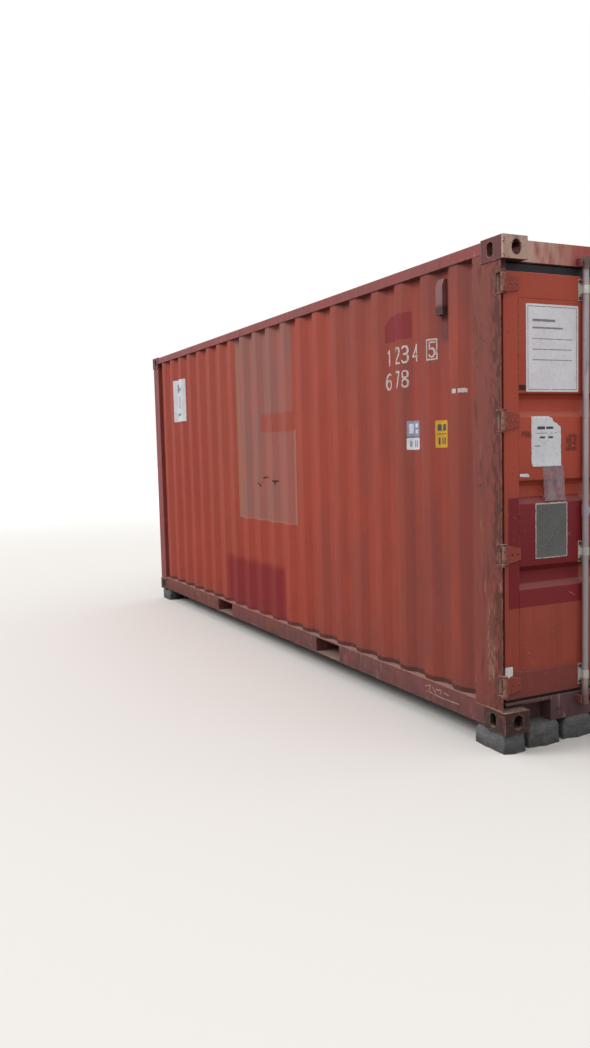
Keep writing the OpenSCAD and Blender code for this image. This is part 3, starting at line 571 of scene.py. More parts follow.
# %% Galvanised steel
def galvanised(name, rusty=0.4, pale="bfb2b6"):
    """Weathered zinc over steel: metallic, with crusts of oxide and brown stains."""
    material, shader, place = start_material(name, IOR=1.5)
    crust = patchy(place, 45, 0.30, 0.65, tall=4, detail=5.0)
    stain = patchy(place, 60, 0.58, 0.74, tall=3, shift=4.0, detail=6.0)
    pits = patchy(place, 9, 0.66, 0.70, shift=2.0)
    painted = plus(rising(place, 240, 120), rising(place, 2430, 2475))
    stack(shader, pale, 0.42, [(crust, 0.55, "aaa0a4", 0.68),
                               (stain, rusty, "7a5a4c", 0.75),
                               (painted, 0.85, "6d4640", 0.72),
                               (pits, 0.7, RUST, 0.85)])
    dull = plus(times(crust, 0.45), plus(stain, painted))
    shader.id_data.links.new(less(0.75, dull), shader.inputs["Metallic"])
    grain = node(place, "TexNoise", {"Vector": place, "Scale": 260.0, "Detail": 4.0})
    relief(shader, [(crust, 0.15), (pits, 0.3), (grain.outputs["Fac"], 0.08)])
    return material


zinc = galvanised("hot_dip_galvanised_steel_weathered")
bracket_zinc = galvanised("forged_bracket_zinc_stained", rusty=0.5, pale="e2e3da")

# %% Rubber, plywood and concrete
def rubber():
    """Black EPDM seal with dust in its creases."""
    material, shader, place = start_material("epdm_rubber_moulded", IOR=1.5)
    dust = patchy(place, 50, 0.40, 0.75, stretch=(1, 4, 1))
    stack(shader, "0d101b", 0.62, [(dust, 0.14, "474b5c", 0.85)])
    relief(shader, [(dust, 0.4)])
    return material


def plywood():
    """Marine plywood: dark red brown veneer, grain along the container, scuffs."""
    material, shader, place = start_material("marine_plywood_oiled", IOR=1.5)
    grain = patchy(place, 9, 0.30, 0.75, stretch=(30, 1, 1), detail=8.0)
    board = patchy(place, 600, 0.30, 0.70, stretch=(3, 1, 1), shift=1.1)
    scuff = patchy(place, 90, 0.55, 0.75, stretch=(4, 1, 1), shift=3.3)
    stack(shader, "7d5a3f", 0.55, [(grain, 1, "5d3f2c", 0.60),
                                   (board, 0.4, "8c6a4c", 0.6),
                                   (scuff, 0.5, "3f332b", 0.8)])
    relief(shader, [(grain, 0.2)])
    return material


def concrete():
    """Broken concrete: cement paste, sand, pale aggregate, damp and moss at the foot."""
    material, shader, place = start_material("cast_concrete_broken", IOR=1.5)
    sand = patchy(place, 4, 0.35, 0.65, detail=5.0)
    cloud = patchy(place, 90, 0.30, 0.70, shift=2.2)
    cells = node(place, "TexVoronoi", {"Vector": place, "Scale": 75.0, "Randomness": 1.0})
    stone = level_mask(cells.outputs["Distance"], 0.38, 0.30)
    damp = times(along(place, "Z", 0.07, 0.0), patchy(place, 70, 0.25, 0.6, shift=5.0))
    stack(shader, "605f60", 0.85, [(sand, 1, "6f6e70", 0.9),
                                   (cloud, 0.6, "4a494b", 0.9),
                                   (stone, 0.35, "8a8580", 0.75),
                                   (damp, 0.7, "3b3c36", 0.85)])
    relief(shader, [(cloud, 2.0), (stone, 0.8), (sand, 0.6)])
    return material


rubber_seal, floor_wood, broken_concrete = rubber(), plywood(), concrete()
print("made", rubber_seal.name, floor_wood.name, broken_concrete.name)

# %% [markdown]
# ## Dressing the CAD pieces
#
# A real edge is never a knife edge. Each CAD piece gets three modifiers: weld
# its corners, join its flat faces, and bevel what is left by a radius that
# suits its plate. The CAD mesh itself stays as it was packed.

# %% Bevel and finish of every CAD piece
DRESS = {"casting": (casting_paint, 5.0), "door_frame": (door_paint, 4.0), "door_panel": (door_paint, 1.0),
         "door_post": (post_paint, 1.6), "end_post": (frame_paint, 1.6), "top_rail": (frame_paint, 1.2),
         "end_header": (frame_paint, 1.5), "door_header": (header_paint, 1.8), "roof": (wall_paint, 0.8),
         "end_sill": (underframe_paint, 1.5), "door_sill": (underframe_paint, 1.8),
         "bottom_rail": (underframe_paint, 1.4), "hinge_lugs": (post_paint, 1.6),
         "hinge_blades": (blade_paint, 1.8), "bar_brackets": (bracket_zinc, 0.9),
         "lock_bar": (zinc, 1.2), "lock_keepers": (frame_paint, 1.6), "ventilators": (vent_paint, 1.2),
         "door_gasket": (rubber_seal, 2.0), "floor": (floor_wood, 1.0), "concrete": (broken_concrete, 2.0),
         "side_wall": (wall_paint, 1.0), "end_wall": (wall_paint, 1.0)}


WELD_GAP = 1e-5
FLAT_DEG, FOLD_DEG = 0.4, 25


def soften(piece, radius_mm):
    """Rounds the edges of a CAD node with modifiers only."""
    normals = piece.data.attributes.get("custom_normal")
    if normals is not None:
        piece.data.attributes.remove(normals)
    piece.data.shade_smooth()
    weld = piece.modifiers.new("weld", "WELD")
    weld.merge_threshold = WELD_GAP
    flats = piece.modifiers.new("join_flats", "DECIMATE")
    flats.decimate_type = "DISSOLVE"
    flats.angle_limit = math.radians(FLAT_DEG)
    bevel = piece.modifiers.new("round_edges", "BEVEL")
    bevel.width = radius_mm * MM
    bevel.segments = 2
    bevel.limit_method = "ANGLE"
    bevel.angle_limit = math.radians(FOLD_DEG)
    bevel.harden_normals = True


plain = set()
for name, piece in nodes.items():
    key = next((k for k in DRESS if name.startswith(k)), None)
    if key is None:
        plain.add(name)
    paint, radius_mm = DRESS.get(key, (underframe_paint, 1.2))
    piece.data.materials.clear()
    piece.data.materials.append(paint)
    soften(piece, radius_mm)
print("dressed", len(nodes), "CAD pieces; as underframe:", sorted(plain))

# %% [markdown]
# ## Pressed sheets
#
# Corrugated sheet is folded on a press brake, so its folds are round, and a
# wall that has travelled is never quite flat. `pressed_sheet` takes the CAD
# sheet, rounds its folds, cuts it into rows, and pushes the surface in and out
# by a few millimetres, fading to nothing at the border where it is welded.
# The new sheet stands for the CAD one.

# %% Mesh helpers
def welded(name):
    """A CAD node as an editable mesh: corners joined, flat faces whole."""
    mesh = bmesh.new()
    mesh.from_mesh(nodes[name].data)
    bmesh.ops.remove_doubles(mesh, verts=mesh.verts, dist=WELD_GAP)
    bmesh.ops.dissolve_limit(mesh, angle_limit=math.radians(FLAT_DEG), verts=mesh.verts, edges=mesh.edges)
    return mesh


def add_piece(name, mesh, material, slot, body="container", sharp_deg=32):
    """Turns an edited mesh into an object that rides on a CAD body."""
    data = bpy.data.meshes.new(name)
    mesh.to_mesh(data)
    mesh.free()
    data.shade_smooth()
    data.set_sharp_from_angle(angle=math.radians(sharp_deg))
    data.materials.append(material)
    piece = stand(name, data)
    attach(piece, body)
    return piece


def extent(points):
    """The lowest and the highest corner of a box round some points."""
    points = list(points)
    return [Vector([pick(p[i] for p in points) for i in range(3)]) for pick in (min, max)]


def smoothstep(value, low, high):
    """0 under the low value and 1 over the high one, with a soft change between them."""
    share = min(max((value - low) / (high - low), 0.0), 1.0)
    return share * share * (3 - 2 * share)


# %% Pressed sheets from the CAD sheets
BORDER_ALONG, BORDER_ACROSS = 0.22, 0.10
DENT_MARGIN = 0.2
DENT_RADIUS, DENT_DEPTH = (0.05, 0.14), (0.002, 0.007)
FOLD_ANGLES = (0.1, 1.4)


def waves(point, low, high, across, along, dents, dent_mm):
    """How far a point of a sheet is pushed along its normal, in metres."""
    edge = min(smoothstep(point[along], low[along], low[along] + BORDER_ALONG),
               smoothstep(point[along], high[along], high[along] - BORDER_ALONG),
               smoothstep(point[across], low[across], low[across] + BORDER_ACROSS),
               smoothstep(point[across], high[across], high[across] - BORDER_ACROSS))
    slow = noise.noise(Vector((point[across] * 1.3, point[along] * 1.1, low.x)))
    push = slow * dent_mm * MM * edge
    for centre_across, centre_along, radius, depth in dents:
        near = math.hypot(point[across] - centre_across, (point[along] - centre_along) * 0.7) / radius
        push -= depth * max(0.0, 1 - near * near) ** 2 * edge
    return push


def pressed_sheet(name, axis, rows, dent_mm, outward, material, slot, body="container", dent_count=0,
                  fold_mm=7):
    """A ridged sheet with round folds and slight dents, in place of a CAD sheet."""
    mesh = welded(name)
    along = "XYZ".index(axis)
    normal = max(range(3), key=lambda i: abs(outward[i]))
    across = 3 - along - normal

    def runs_along(edge):
        span = edge.verts[0].co - edge.verts[1].co
        return abs(span[along]) > 0.5 and abs(span[along]) > 0.999 * span.length

    folds = [e for e in mesh.edges
             if runs_along(e) and e.is_manifold and FOLD_ANGLES[0] < e.calc_face_angle() < FOLD_ANGLES[1]]
    bmesh.ops.bevel(mesh, geom=folds, offset=fold_mm * MM, offset_type="OFFSET", segments=3,
                    profile=0.5, affect="EDGES", clamp_overlap=False)
    bmesh.ops.subdivide_edges(mesh, edges=[e for e in mesh.edges if runs_along(e)], cuts=rows)
    low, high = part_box(name)
    pick = random.Random(name)
    dents = [(pick.uniform(low[across] + DENT_MARGIN, high[across] - DENT_MARGIN),
              pick.uniform(low[along] + DENT_MARGIN, high[along] - DENT_MARGIN),
              pick.uniform(*DENT_RADIUS), pick.uniform(*DENT_DEPTH)) for _ in range(dent_count)]
    for vertex in mesh.verts:
        push = waves(vertex.co, low, high, across, along, dents, dent_mm)
        vertex.co[normal] += push * (1 if outward[normal] > 0 else -1)
    print(name, "pressed:", len(folds), "folds rounded,", len(mesh.faces), "faces")
    piece = add_piece(name + "_pressed", mesh, material, slot, body, sharp_deg=50)
    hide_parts(name)
    return piece


wall_left = pressed_sheet("side_wall_left", "Z", 26, 2.2, (0, -1, 0), wall_left_paint, "wall_paint",
                          dent_count=16)
wall_right = pressed_sheet("side_wall_right", "Z", 26, 2.2, (0, 1, 0), wall_paint, "wall_paint",
                           dent_count=20)
wall_end = pressed_sheet("end_wall", "Z", 26, 2.5, (-1, 0, 0), wall_paint, "wall_paint", dent_count=12)
panel_left = pressed_sheet("door_panel_left", "Y", 14, 1.2, (1, 0, 0), door_paint, "door_paint",
                           "left_door", 5, fold_mm=4)
panel_right = pressed_sheet("door_panel_right", "Y", 14, 1.2, (1, 0, 0), door_paint, "door_paint",
                            "right_door", 5, fold_mm=4)

# %% [markdown]
# ## Concrete lumps
#
# Each CAD lump has the size and seat of a real one. Its surface is divided
# finely and broken inwards with layered noise, so that it never leaves the
# space the frame gives it. The top that carries a casting stays flat. Each
# lump has its own seed, counted across the container.

# %% Broken concrete
def islands(mesh):
    """The connected groups of faces of a mesh, in an order that is the same in each run."""
    seen, groups = set(), []
    for first in mesh.faces:
        if first in seen:
            continue
        seen.add(first)
        group, queue = [first], [first]
        while queue:
            for edge in queue.pop().edges:
                for face in edge.link_faces:
                    if face not in seen:
                        seen.add(face)
                        queue.append(face)
                        group.append(face)
        groups.append(group)
    return sorted(groups, key=lambda group: min(tuple(round(c, 4) for c in v.co.yxz)
                                                for face in group for v in face.verts))


def copy_faces(group, mesh):
    """Copies a group of faces into another mesh."""
    table = {v: mesh.verts.new(v.co) for v in dict.fromkeys(v for face in group for v in face.verts)}
    for face in group:
        corners = [table[v] for v in face.verts]
        if mesh.faces.get(corners) is None:
            mesh.faces.new(corners)


LONGEST_EDGE = 0.011
TOP_TAPER, TAPER_DEPTH = 0.07, 0.025
ROUGH_BITE, FACET_BITE = 0.009, 0.004


def break_surface(part, seed):
    """Divides a lump finely and breaks its surface inwards."""
    bmesh.ops.triangulate(part, faces=part.faces)
    for _ in range(7):
        long_edges = [e for e in part.edges if e.calc_length() > LONGEST_EDGE]
        if not long_edges:
            break
        bmesh.ops.subdivide_edges(part, edges=long_edges, cuts=1)
        bmesh.ops.triangulate(part, faces=[f for f in part.faces if len(f.verts) > 3])
    low, high = extent(v.co for v in part.verts)
    middle, half = (low + high) / 2, (high - low) / 2
    for vertex in part.verts:
        out = vertex.co - middle
        out.z = 0.0
        blunt = (abs(out.x / half.x) ** 5 + abs(out.y / half.y) ** 5) ** 0.2
        below = high.z - vertex.co.z
        shrink = min(1.0, 1 / max(blunt, 0.01)) if blunt > 1 else 1.0
        shrink *= 1 - TOP_TAPER * (1 - smoothstep(below, 0.0, TAPER_DEPTH))
        spot = vertex.co * 8 + Vector((seed * 3.7, 0, seed))
        rough = noise.fractal(spot, 0.8, 2.1, 6)
        facet = noise.cell(vertex.co * 16 + Vector((seed, 0, 0)))
        bite = ROUGH_BITE * max(0.6 + rough, 0) + FACET_BITE * facet
        turned = out * shrink
        vertex.co.x = middle.x + turned.x - out.normalized().x * bite
        vertex.co.y = middle.y + turned.y - out.normalized().y * bite
    for _ in range(2):
        bmesh.ops.smooth_vert(part, verts=[v for v in part.verts if 0.004 < v.co.z < high.z - 0.002],
                              factor=0.5, use_axis_x=True, use_axis_y=True, use_axis_z=True)


def broken_lumps(name):
    """All lumps of a CAD node, broken, in place of the node."""
    source = welded(name)
    whole = bmesh.new()
    for seed, group in enumerate(islands(source)):
        part = bmesh.new()
        copy_faces(group, part)
        break_surface(part, seed)
        copy_faces(part.faces, whole)
        part.free()
    source.free()
    print(name, "broken into", len(whole.faces), "faces")
    piece = add_piece(name + "_broken", whole, broken_concrete, "concrete", sharp_deg=60)
    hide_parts(name)


broken_lumps("concrete_door_end")
broken_lumps("concrete_closed_end")

# %% [markdown]
# ## Cutting shapes along a zero line
#
# Stencilled numbers, labels and torn paper are all regions of a plane where
# some field is above zero. `cut_shape` walks a fine grid, keeps what is above
# zero, cuts the cells the zero line crosses, and lays every corner on the
# steel with a function that finds the surface. Noise in the field chips the
# edges as worn paint chips.

# %% Shape cutter
def cut_shape(mesh, field, corners, cell_mm, lay, lift_mm):
    """Adds the part of a plane where field(u, v) > 0, laid on a surface as a thin skin."""
    low = corners[:2]
    counts, steps = [], []
    for start, end in zip(low, corners[2:]):
        step = min(cell_mm * MM, (end - start) / 4)
        counts.append(math.ceil((end - start) / step) + 2)
        steps.append(step)
    spots = [[(low[0] + steps[0] * (i - 0.5), low[1] + steps[1] * (j - 0.5))
              for j in range(counts[1] + 1)] for i in range(counts[0] + 1)]
    values = [[field(*spot) for spot in column] for column in spots]
    made = {}

    def corner(key, u, v):
        if key not in made:
            made[key] = mesh.verts.new(lay(u, v, lift_mm))
        return made[key]

    for i in range(counts[0]):
        for j in range(counts[1]):
            ring = [(i, j), (i + 1, j), (i + 1, j + 1), (i, j + 1)]
            loop = []
            for a, b in zip(ring, ring[1:] + ring[:1]):
                va, vb = values[a[0]][a[1]], values[b[0]][b[1]]
                pa, pb = spots[a[0]][a[1]], spots[b[0]][b[1]]
                if va > 0:
                    loop.append(corner(a, *pa))
                if (va > 0) != (vb > 0):
                    share = va / (va - vb)
                    loop.append(corner((min(a, b), max(a, b)), pa[0] + (pb[0] - pa[0]) * share,
                                       pa[1] + (pb[1] - pa[1]) * share))
            if len(loop) > 2:
                mesh.faces.new(loop)


def box_field(u0, v0, u1, v1, round_mm=2.0, worn_mm=0.0, seed=0.0):
    """Field of a rectangle with round corners, its edge worn by noise."""
    radius = min(round_mm * MM, (u1 - u0) / 2, (v1 - v0) / 2)
    cu, cv = (u0 + u1) / 2, (v0 + v1) / 2
    hu, hv = (u1 - u0) / 2 - radius, (v1 - v0) / 2 - radius

    def field(u, v):
        du, dv = abs(u - cu) - hu, abs(v - cv) - hv
        away = math.hypot(max(du, 0), max(dv, 0)) + min(max(du, dv), 0)
        wear = noise.noise(Vector((u * 90 + seed, v * 90, seed)))
        wear += noise.noise(Vector((u * 33, v * 33, seed)))
        return radius - away - worn_mm * MM * max(wear, 0)
    return field


RAY_START = 5.0


def surface(pieces, direction):
    """A function that lays a point on the first of these pieces met along a direction."""
    graph = bpy.context.evaluated_depsgraph_get()
    trees = [BVHTree.FromObject(piece, graph) for piece in pieces]
    axis = max(range(3), key=lambda i: abs(direction[i]))
    first, second = [i for i in range(3) if i != axis]
    ray = Vector(direction)

    def lay(u, v, lift_mm):
        start = Vector((0, 0, 0))
        start[first], start[second] = u, v
        start[axis] = -direction[axis] * RAY_START
        hits = [hit for hit in (tree.ray_cast(start, ray) for tree in trees) if hit[0] is not None]
        if not hits:
            print("nothing under", round(u, 3), round(v, 3))
            return start
        return min(hits, key=lambda hit: hit[3])[0] - ray * lift_mm * MM
    return lay


on_left_wall = surface([wall_left], (0, 1, 0))
on_left_door = surface([panel_left, nodes["door_frame_left"], nodes["hinge_blades_left"]], (-1, 0, 0))
print("wall surface at the middle:", round(on_left_wall(0.0, 1.5, 0).y, 4))

# %% [markdown]
# ## Inks and films
#
# White stencil paint is chalky. Labels are cast vinyl with a slight sheen,
# the plates are coated aluminium, the notice is weathered paper held by clear
# packing tape.

# %% Flat finishes with their own wear
def thin_coat(name, colour, worn, roughness=0.55, worn_amount=0.5, size_mm=22):
    """A printed or painted film: its colour, and blotches where it has worn or stained."""
    material, shader, place = start_material(name, IOR=1.5)
    wear = patchy(place, size_mm, 0.52, 0.64, detail=7.0)
    haze = patchy(place, 140, 0.3, 0.7, shift=2.0)
    stack(shader, colour, roughness, [(haze, 0.25, worn, roughness + 0.1),
                                      (wear, worn_amount, worn, roughness + 0.2)])
    relief(shader, [(wear, 0.05)])
    return material


stencil_white = thin_coat("stencil_paint_sprayed", "cfc6c2", "9a5a4a", 0.7, 0.55)
label_white = thin_coat("white_vinyl_film_cast", "dfe1e8", "a9a4a6", 0.45, 0.35)
label_blue = thin_coat("blue_vinyl_film_cast", "8f98b2", "6a7086", 0.45, 0.45)
label_yellow = thin_coat("yellow_vinyl_film_cast", "d6a408", "9a7222", 0.45, 0.4)
ink_dark = thin_coat("printing_ink_screened", "41404a", "6d6a70", 0.6, 0.4)
ink_grey = thin_coat("printing_ink_faded", "8a8992", "a9a8ae", 0.6, 0.4)
plate_grey = thin_coat("rubber_coated_plate_scratched", "5c5c5e", "8b8a86", 0.55, 0.6, size_mm=9)
plate_edge = thin_coat("white_enamel_chipped", "d3cec6", "6a5a52", 0.5, 0.7, size_mm=14)
placard_white = thin_coat("placard_vinyl_film_cast", "fbfaff", "d2cfd8", 0.45, 0.3)
paper_white = thin_coat("notice_paper_weathered", "f4f6fc", "c9c6ce", 0.8, 0.35)
# Dark rusty red: rusted scratches on the wall, and also painted shadow at the end of a groove on the leaf.
gouge_and_shadow = thin_coat("scratched_paint_rusted_and_painted_shadow", "3d1c17", "5c2c22", 0.8, 0.5)
seal_white = thin_coat("white_tape_adhesive", "efedea", "a9a29c", 0.6, 0.4)


def clear_tape():
    """Clear polypropylene tape: mostly see through, milky where it has lifted."""
    material, shader, place = start_material("polypropylene_tape_aged", IOR=1.49, Roughness=0.3)
    milky = patchy(place, 30, 0.35, 0.65, tall=3, detail=5.0)
    shader.inputs["Base Color"].default_value = srgb("b3a2ac")
    share = node(place, "MapRange", {"Value": milky, "To Min": 0.42, "To Max": 0.72})
    shader.id_data.links.new(share.outputs["Result"], shader.inputs["Alpha"])
    relief(shader, [(milky, 0.4)])
    return material


tape_clear = clear_tape()
print("films made:", len(bpy.data.materials), "materials so far")

# %% [markdown]
# ## Numbers and labels on the left wall
#
# The numbers here are plain placeholders. Each digit is drawn as a few pen
# strokes in a unit box, and the field is half the pen's width minus the
# distance to the nearest stroke.

# %% Digits as pen strokes
STROKES = {
    "1": [[(0.25, 0.82), (0.55, 1.0), (0.55, 0.0)]],
    "2": [[(0.02, 0.76), (0.14, 0.94), (0.5, 1.0), (0.86, 0.94), (0.98, 0.74), (0.88, 0.56),
           (0.04, 0.0), (1.0, 0.0)]],
    "3": [[(0.04, 0.9), (0.3, 1.0), (0.72, 1.0), (0.95, 0.84), (0.93, 0.64), (0.66, 0.52), (0.36, 0.52)],
          [(0.66, 0.52), (0.96, 0.38), (0.97, 0.16), (0.74, 0.0), (0.28, 0.0), (0.03, 0.12)]],
    "4": [[(0.76, 0.0), (0.76, 1.0), (0.0, 0.3), (1.0, 0.3)]],
    "5": [[(0.94, 1.0), (0.1, 1.0), (0.06, 0.54), (0.6, 0.58), (0.95, 0.42), (0.96, 0.16), (0.7, 0.0),
           (0.26, 0.0), (0.02, 0.12)]],
    "6": [[(0.9, 0.92), (0.6, 1.0), (0.25, 0.94), (0.04, 0.6), (0.04, 0.2), (0.28, 0.0), (0.72, 0.0),
           (0.97, 0.2), (0.93, 0.46), (0.62, 0.58), (0.2, 0.52), (0.04, 0.38)]],
    "7": [[(0.0, 1.0), (1.0, 1.0), (0.4, 0.0)]],
    "8": [[(0.5, 0.53), (0.12, 0.66), (0.08, 0.88), (0.3, 1.0), (0.7, 1.0), (0.92, 0.88), (0.88, 0.66),
           (0.5, 0.53), (0.05, 0.36), (0.05, 0.12), (0.28, 0.0), (0.72, 0.0), (0.95, 0.12),
           (0.95, 0.36), (0.5, 0.53)]]}


def to_segment(u, v, a, b):
    """Distance from a point to a line segment."""
    run, rise = b[0] - a[0], b[1] - a[1]
    share = ((u - a[0]) * run + (v - a[1]) * rise) / (run * run + rise * rise)
    share = min(max(share, 0.0), 1.0)
    return math.hypot(u - a[0] - share * run, v - a[1] - share * rise)


def pen_field(lines, pen_mm, worn_mm):
    """Field of pen strokes of one width, their edges worn by noise."""
    def field(u, v):
        near = min(to_segment(u, v, a, b) for line in lines for a, b in zip(line, line[1:]))
        wear = noise.noise(Vector((u * 120, v * 120, 4))) + noise.noise(Vector((u * 45, v * 45, 8)))
        return pen_mm * MM / 2 - near - worn_mm * MM * max(wear, 0)
    return field


def digit_field(digit, u0, v0, wide, tall, pen_mm, worn_mm):
    """Field of one stencilled digit whose lower left corner is (u0, v0)."""
    pen = pen_mm * MM
    lines = [[(u0 + pen / 2 + x * (wide - pen), v0 + pen / 2 + y * (tall - pen)) for x, y in stroke]
             for stroke in STROKES[digit]]
    return pen_field(lines, pen_mm, worn_mm)


def stencil_row(mesh, digits, starts, foot, wide_mm, tall_mm, pen_mm=17):
    """Adds a row of digits to the mesh."""
    for digit, start in zip(digits, starts):
        field = digit_field(digit, start, foot, wide_mm * MM, tall_mm * MM, pen_mm, 5.0)
        corners = (start, foot, start + wide_mm * MM, foot + tall_mm * MM)
        cut_shape(mesh, field, corners, 3.2, on_left_wall, 0.5)


numbers = bmesh.new()
stencil_row(numbers, "1234", (1.848, 1.990, 2.062, 2.138), height(2038), 58, 108, 13)
stencil_row(numbers, "678", (1.846, 1.990, 2.064), height(1891), 56, 108, 13)
stencil_row(numbers, "5", (2.351,), height(2043), 46, 92, 12)
ring = wall_box(2.332, 2028, 2.406, 2150)
pen_wide, pen_tall = 0.008, 0.009
outer = box_field(*ring, worn_mm=4.0)
inner = box_field(ring[0] + pen_wide, ring[1] + pen_tall, ring[2] - pen_wide, ring[3] - pen_tall)
cut_shape(numbers, lambda u, v: min(outer(u, v), -inner(u, v)), ring, 3.2, on_left_wall, 0.5)
for start, end in ((2.571, 2.612), (2.629, 2.684)):
    small = wall_box(start, 1823, end, 1848)
    cut_shape(numbers, box_field(*small, 3, 9.0, start), small, 3.0, on_left_wall, 0.5)
print("stencilled numbers:", len(numbers.faces), "faces")
add_piece("stencilled_numbers", numbers, stencil_white, "wall_paint")

# %% Labels on the left wall
def printed(name, corners, marks, material, lay, lift_mm, body="container", slot="wall_paint",
            round_mm=1.5):
    """Plain bars printed on a film; each is given as shares of the film's width and height."""
    ink = bmesh.new()
    u0, v0, u1, v1 = corners
    for a, b, c, d in marks:
        bar = (u0 + (u1 - u0) * a, v0 + (v1 - v0) * b, u0 + (u1 - u0) * c, v0 + (v1 - v0) * d)
        cut_shape(ink, box_field(*bar, round_mm, 1.5, b), bar, 4.0, lay, lift_mm)
    add_piece(name + "_print", ink, material, slot, body)


PRINT_LIFT_MM = 0.35


def sticker(name, corners, material, marks=(), mark_material=None, lay=on_left_wall, worn_mm=2.0,
            lift_mm=0.6, body="container", slot="wall_paint", cell_mm=7.0):
    """A film with plain bars printed on it; corners and bars are u0, v0, u1, v1."""
    film = bmesh.new()
    cut_shape(film, box_field(*corners, 3.0, worn_mm, corners[0]), corners, cell_mm, lay, lift_mm)
    add_piece(name, film, material, slot, body)
    if marks:
        printed(name, corners, marks, mark_material, lay, lift_mm + PRINT_LIFT_MM, body, slot)


sticker("blue_label", wall_box(2.100, 1594, 2.200, 1690), label_blue,
        [(0.14, 0.2, 0.42, 0.82), (0.58, 0.2, 0.86, 0.42), (0.58, 0.58, 0.86, 0.82)], label_white)
sticker("white_label", wall_box(2.098, 1515, 2.200, 1588), label_white,
        [(0.2, 0.25, 0.34, 0.75), (0.52, 0.2, 0.62, 0.8), (0.7, 0.2, 0.8, 0.8)], ink_grey)
sticker("yellow_label", wall_box(2.388, 1524, 2.482, 1681), label_yellow,
        [(0.14, 0.62, 0.42, 0.86), (0.55, 0.62, 0.86, 0.86), (0.08, 0.49, 0.92, 0.52),
         (0.2, 0.12, 0.32, 0.38), (0.46, 0.12, 0.58, 0.38), (0.68, 0.12, 0.82, 0.38)], ink_dark)
sticker("far_label", wall_box(-2.367, 1860, -2.040, 2295), label_white,
        [(0.18, 0.70, 0.30, 0.90), (0.36, 0.72, 0.78, 0.80), (0.36, 0.40, 0.50, 0.64),
         (0.58, 0.30, 0.70, 0.60), (0.18, 0.14, 0.74, 0.20)], ink_grey, worn_mm=4.0)

# %% [markdown]
# ## Plates and papers on the left leaf
#
# From the top: a large placard, a torn notice, the tape that once held
# another, and a dark plate with a chipped white edge. They ride on the leaf.

# %% Door plates
DOOR = {"lay": on_left_door, "body": "left_door", "slot": "door_paint"}
sticker("placard", door_box(185, 1806, 544, 2262), placard_white,
        [(0.03, 0.968, 0.97, 0.976), (0.03, 0.022, 0.97, 0.03), (0.03, 0.03, 0.04, 0.97),
         (0.96, 0.03, 0.97, 0.97), (0.12, 0.80, 0.55, 0.83), (0.12, 0.72, 0.70, 0.74),
         (0.12, 0.60, 0.88, 0.61), (0.12, 0.48, 0.88, 0.49), (0.12, 0.36, 0.88, 0.37)],
        ink_grey, worn_mm=1.0, lift_mm=1.0, **DOOR)
sticker("dark_plate_edge", door_box(244, 917, 467, 1216), plate_edge, worn_mm=3.0, lift_mm=1.6, **DOOR)
sticker("dark_plate", door_box(251, 924, 460, 1209), plate_grey, worn_mm=1.5, lift_mm=2.6, **DOOR)
sticker("paper_scrap", door_box(141, 1358, 205, 1376), paper_white, worn_mm=6.0, cell_mm=4.0, **DOOR)
# A dark film at the left end of the top groove's lip: painted shadow of the groove's end.
sticker("groove_end_painted_shadow", door_box(137, 1812, 183, 1842), gouge_and_shadow, worn_mm=4.0, cell_mm=4.0, **DOOR)
sticker("white_square", door_box(37, 300, 88, 352), seal_white, cell_mm=4.0, lift_mm=1.0, **DOOR)


def curled(reach_mm, corners):
    """Lays paper flat, and lifts it near its right and lower edges."""
    def lay(u, v, lift_mm):
        edge = smoothstep(u, corners[2] - 0.07, corners[2]) * 0.6
        edge += smoothstep(corners[1] + 0.05 - v, 0.0, 0.05) * 0.5
        ripple = abs(0.6 * noise.noise(Vector((u * 14, v * 11, 3))))
        return on_left_door(u, v, lift_mm + reach_mm * edge + ripple)
    return lay


def torn_paper():
    """A notice with its upper right corner torn off, and its faded print."""
    corners = door_box(219, 1411, 420, 1677)
    whole = box_field(*corners, 3.0, 4.0, 2.0)

    def field(u, v):
        tear = (corners[3] - v) - 0.75 * (u - (corners[2] - 0.075)) - 0.006
        return min(whole(u, v), tear + 0.012 * noise.noise(Vector((u * 60, v * 60, 1))))
    paper, lay = bmesh.new(), curled(5.0, corners)
    cut_shape(paper, field, corners, 5.0, lay, 0.8)
    add_piece("torn_notice", paper, paper_white, "door_paint", "left_door")
    printed("torn_notice", corners,
            [(0.2, 0.74, 0.46, 0.80), (0.5, 0.745, 0.74, 0.795), (0.12, 0.66, 0.86, 0.67),
             (0.28, 0.56, 0.46, 0.60), (0.56, 0.56, 0.74, 0.60), (0.1, 0.40, 0.3, 0.42)],
            ink_dark, lay, 1.2, "left_door", "door_paint", round_mm=1.0)


torn_paper()

# %% Tape across the groove
TAPE_SLANT = 0.016


def slack_tape():
    """Clear tape that bridges a groove and sags a little into it."""
    corners = door_box(293, 1224, 440, 1418)

    def lay(u, v, lift_mm):
        share = (v - corners[1]) / (corners[3] - corners[1])
        ripple = 1.5 * abs(noise.noise(Vector((u * 25, v * 25, 0))))
        return Vector((leaf_face + (lift_mm + ripple) * MM, u + TAPE_SLANT * (1 - share), v))
    film = bmesh.new()
    cut_shape(film, box_field(*corners, 1.0, 6.0, 5.0), corners, 6.0, lay, 1.2)
    add_piece("clear_tape", film, tape_clear, "door_paint", "left_door")


slack_tape()

# %% [markdown]
# ## Welds, bolts and scratches
#
# The sheets are welded to the rails and posts all round. A bead is a lumpy
# half round swept along the joint, a few millimetres thick. The guide plates
# of the lock bars and the hinge blades are bolted through the leaf, and the
# heads are domed. Scratches are strokes like the digits, thinner and darker.

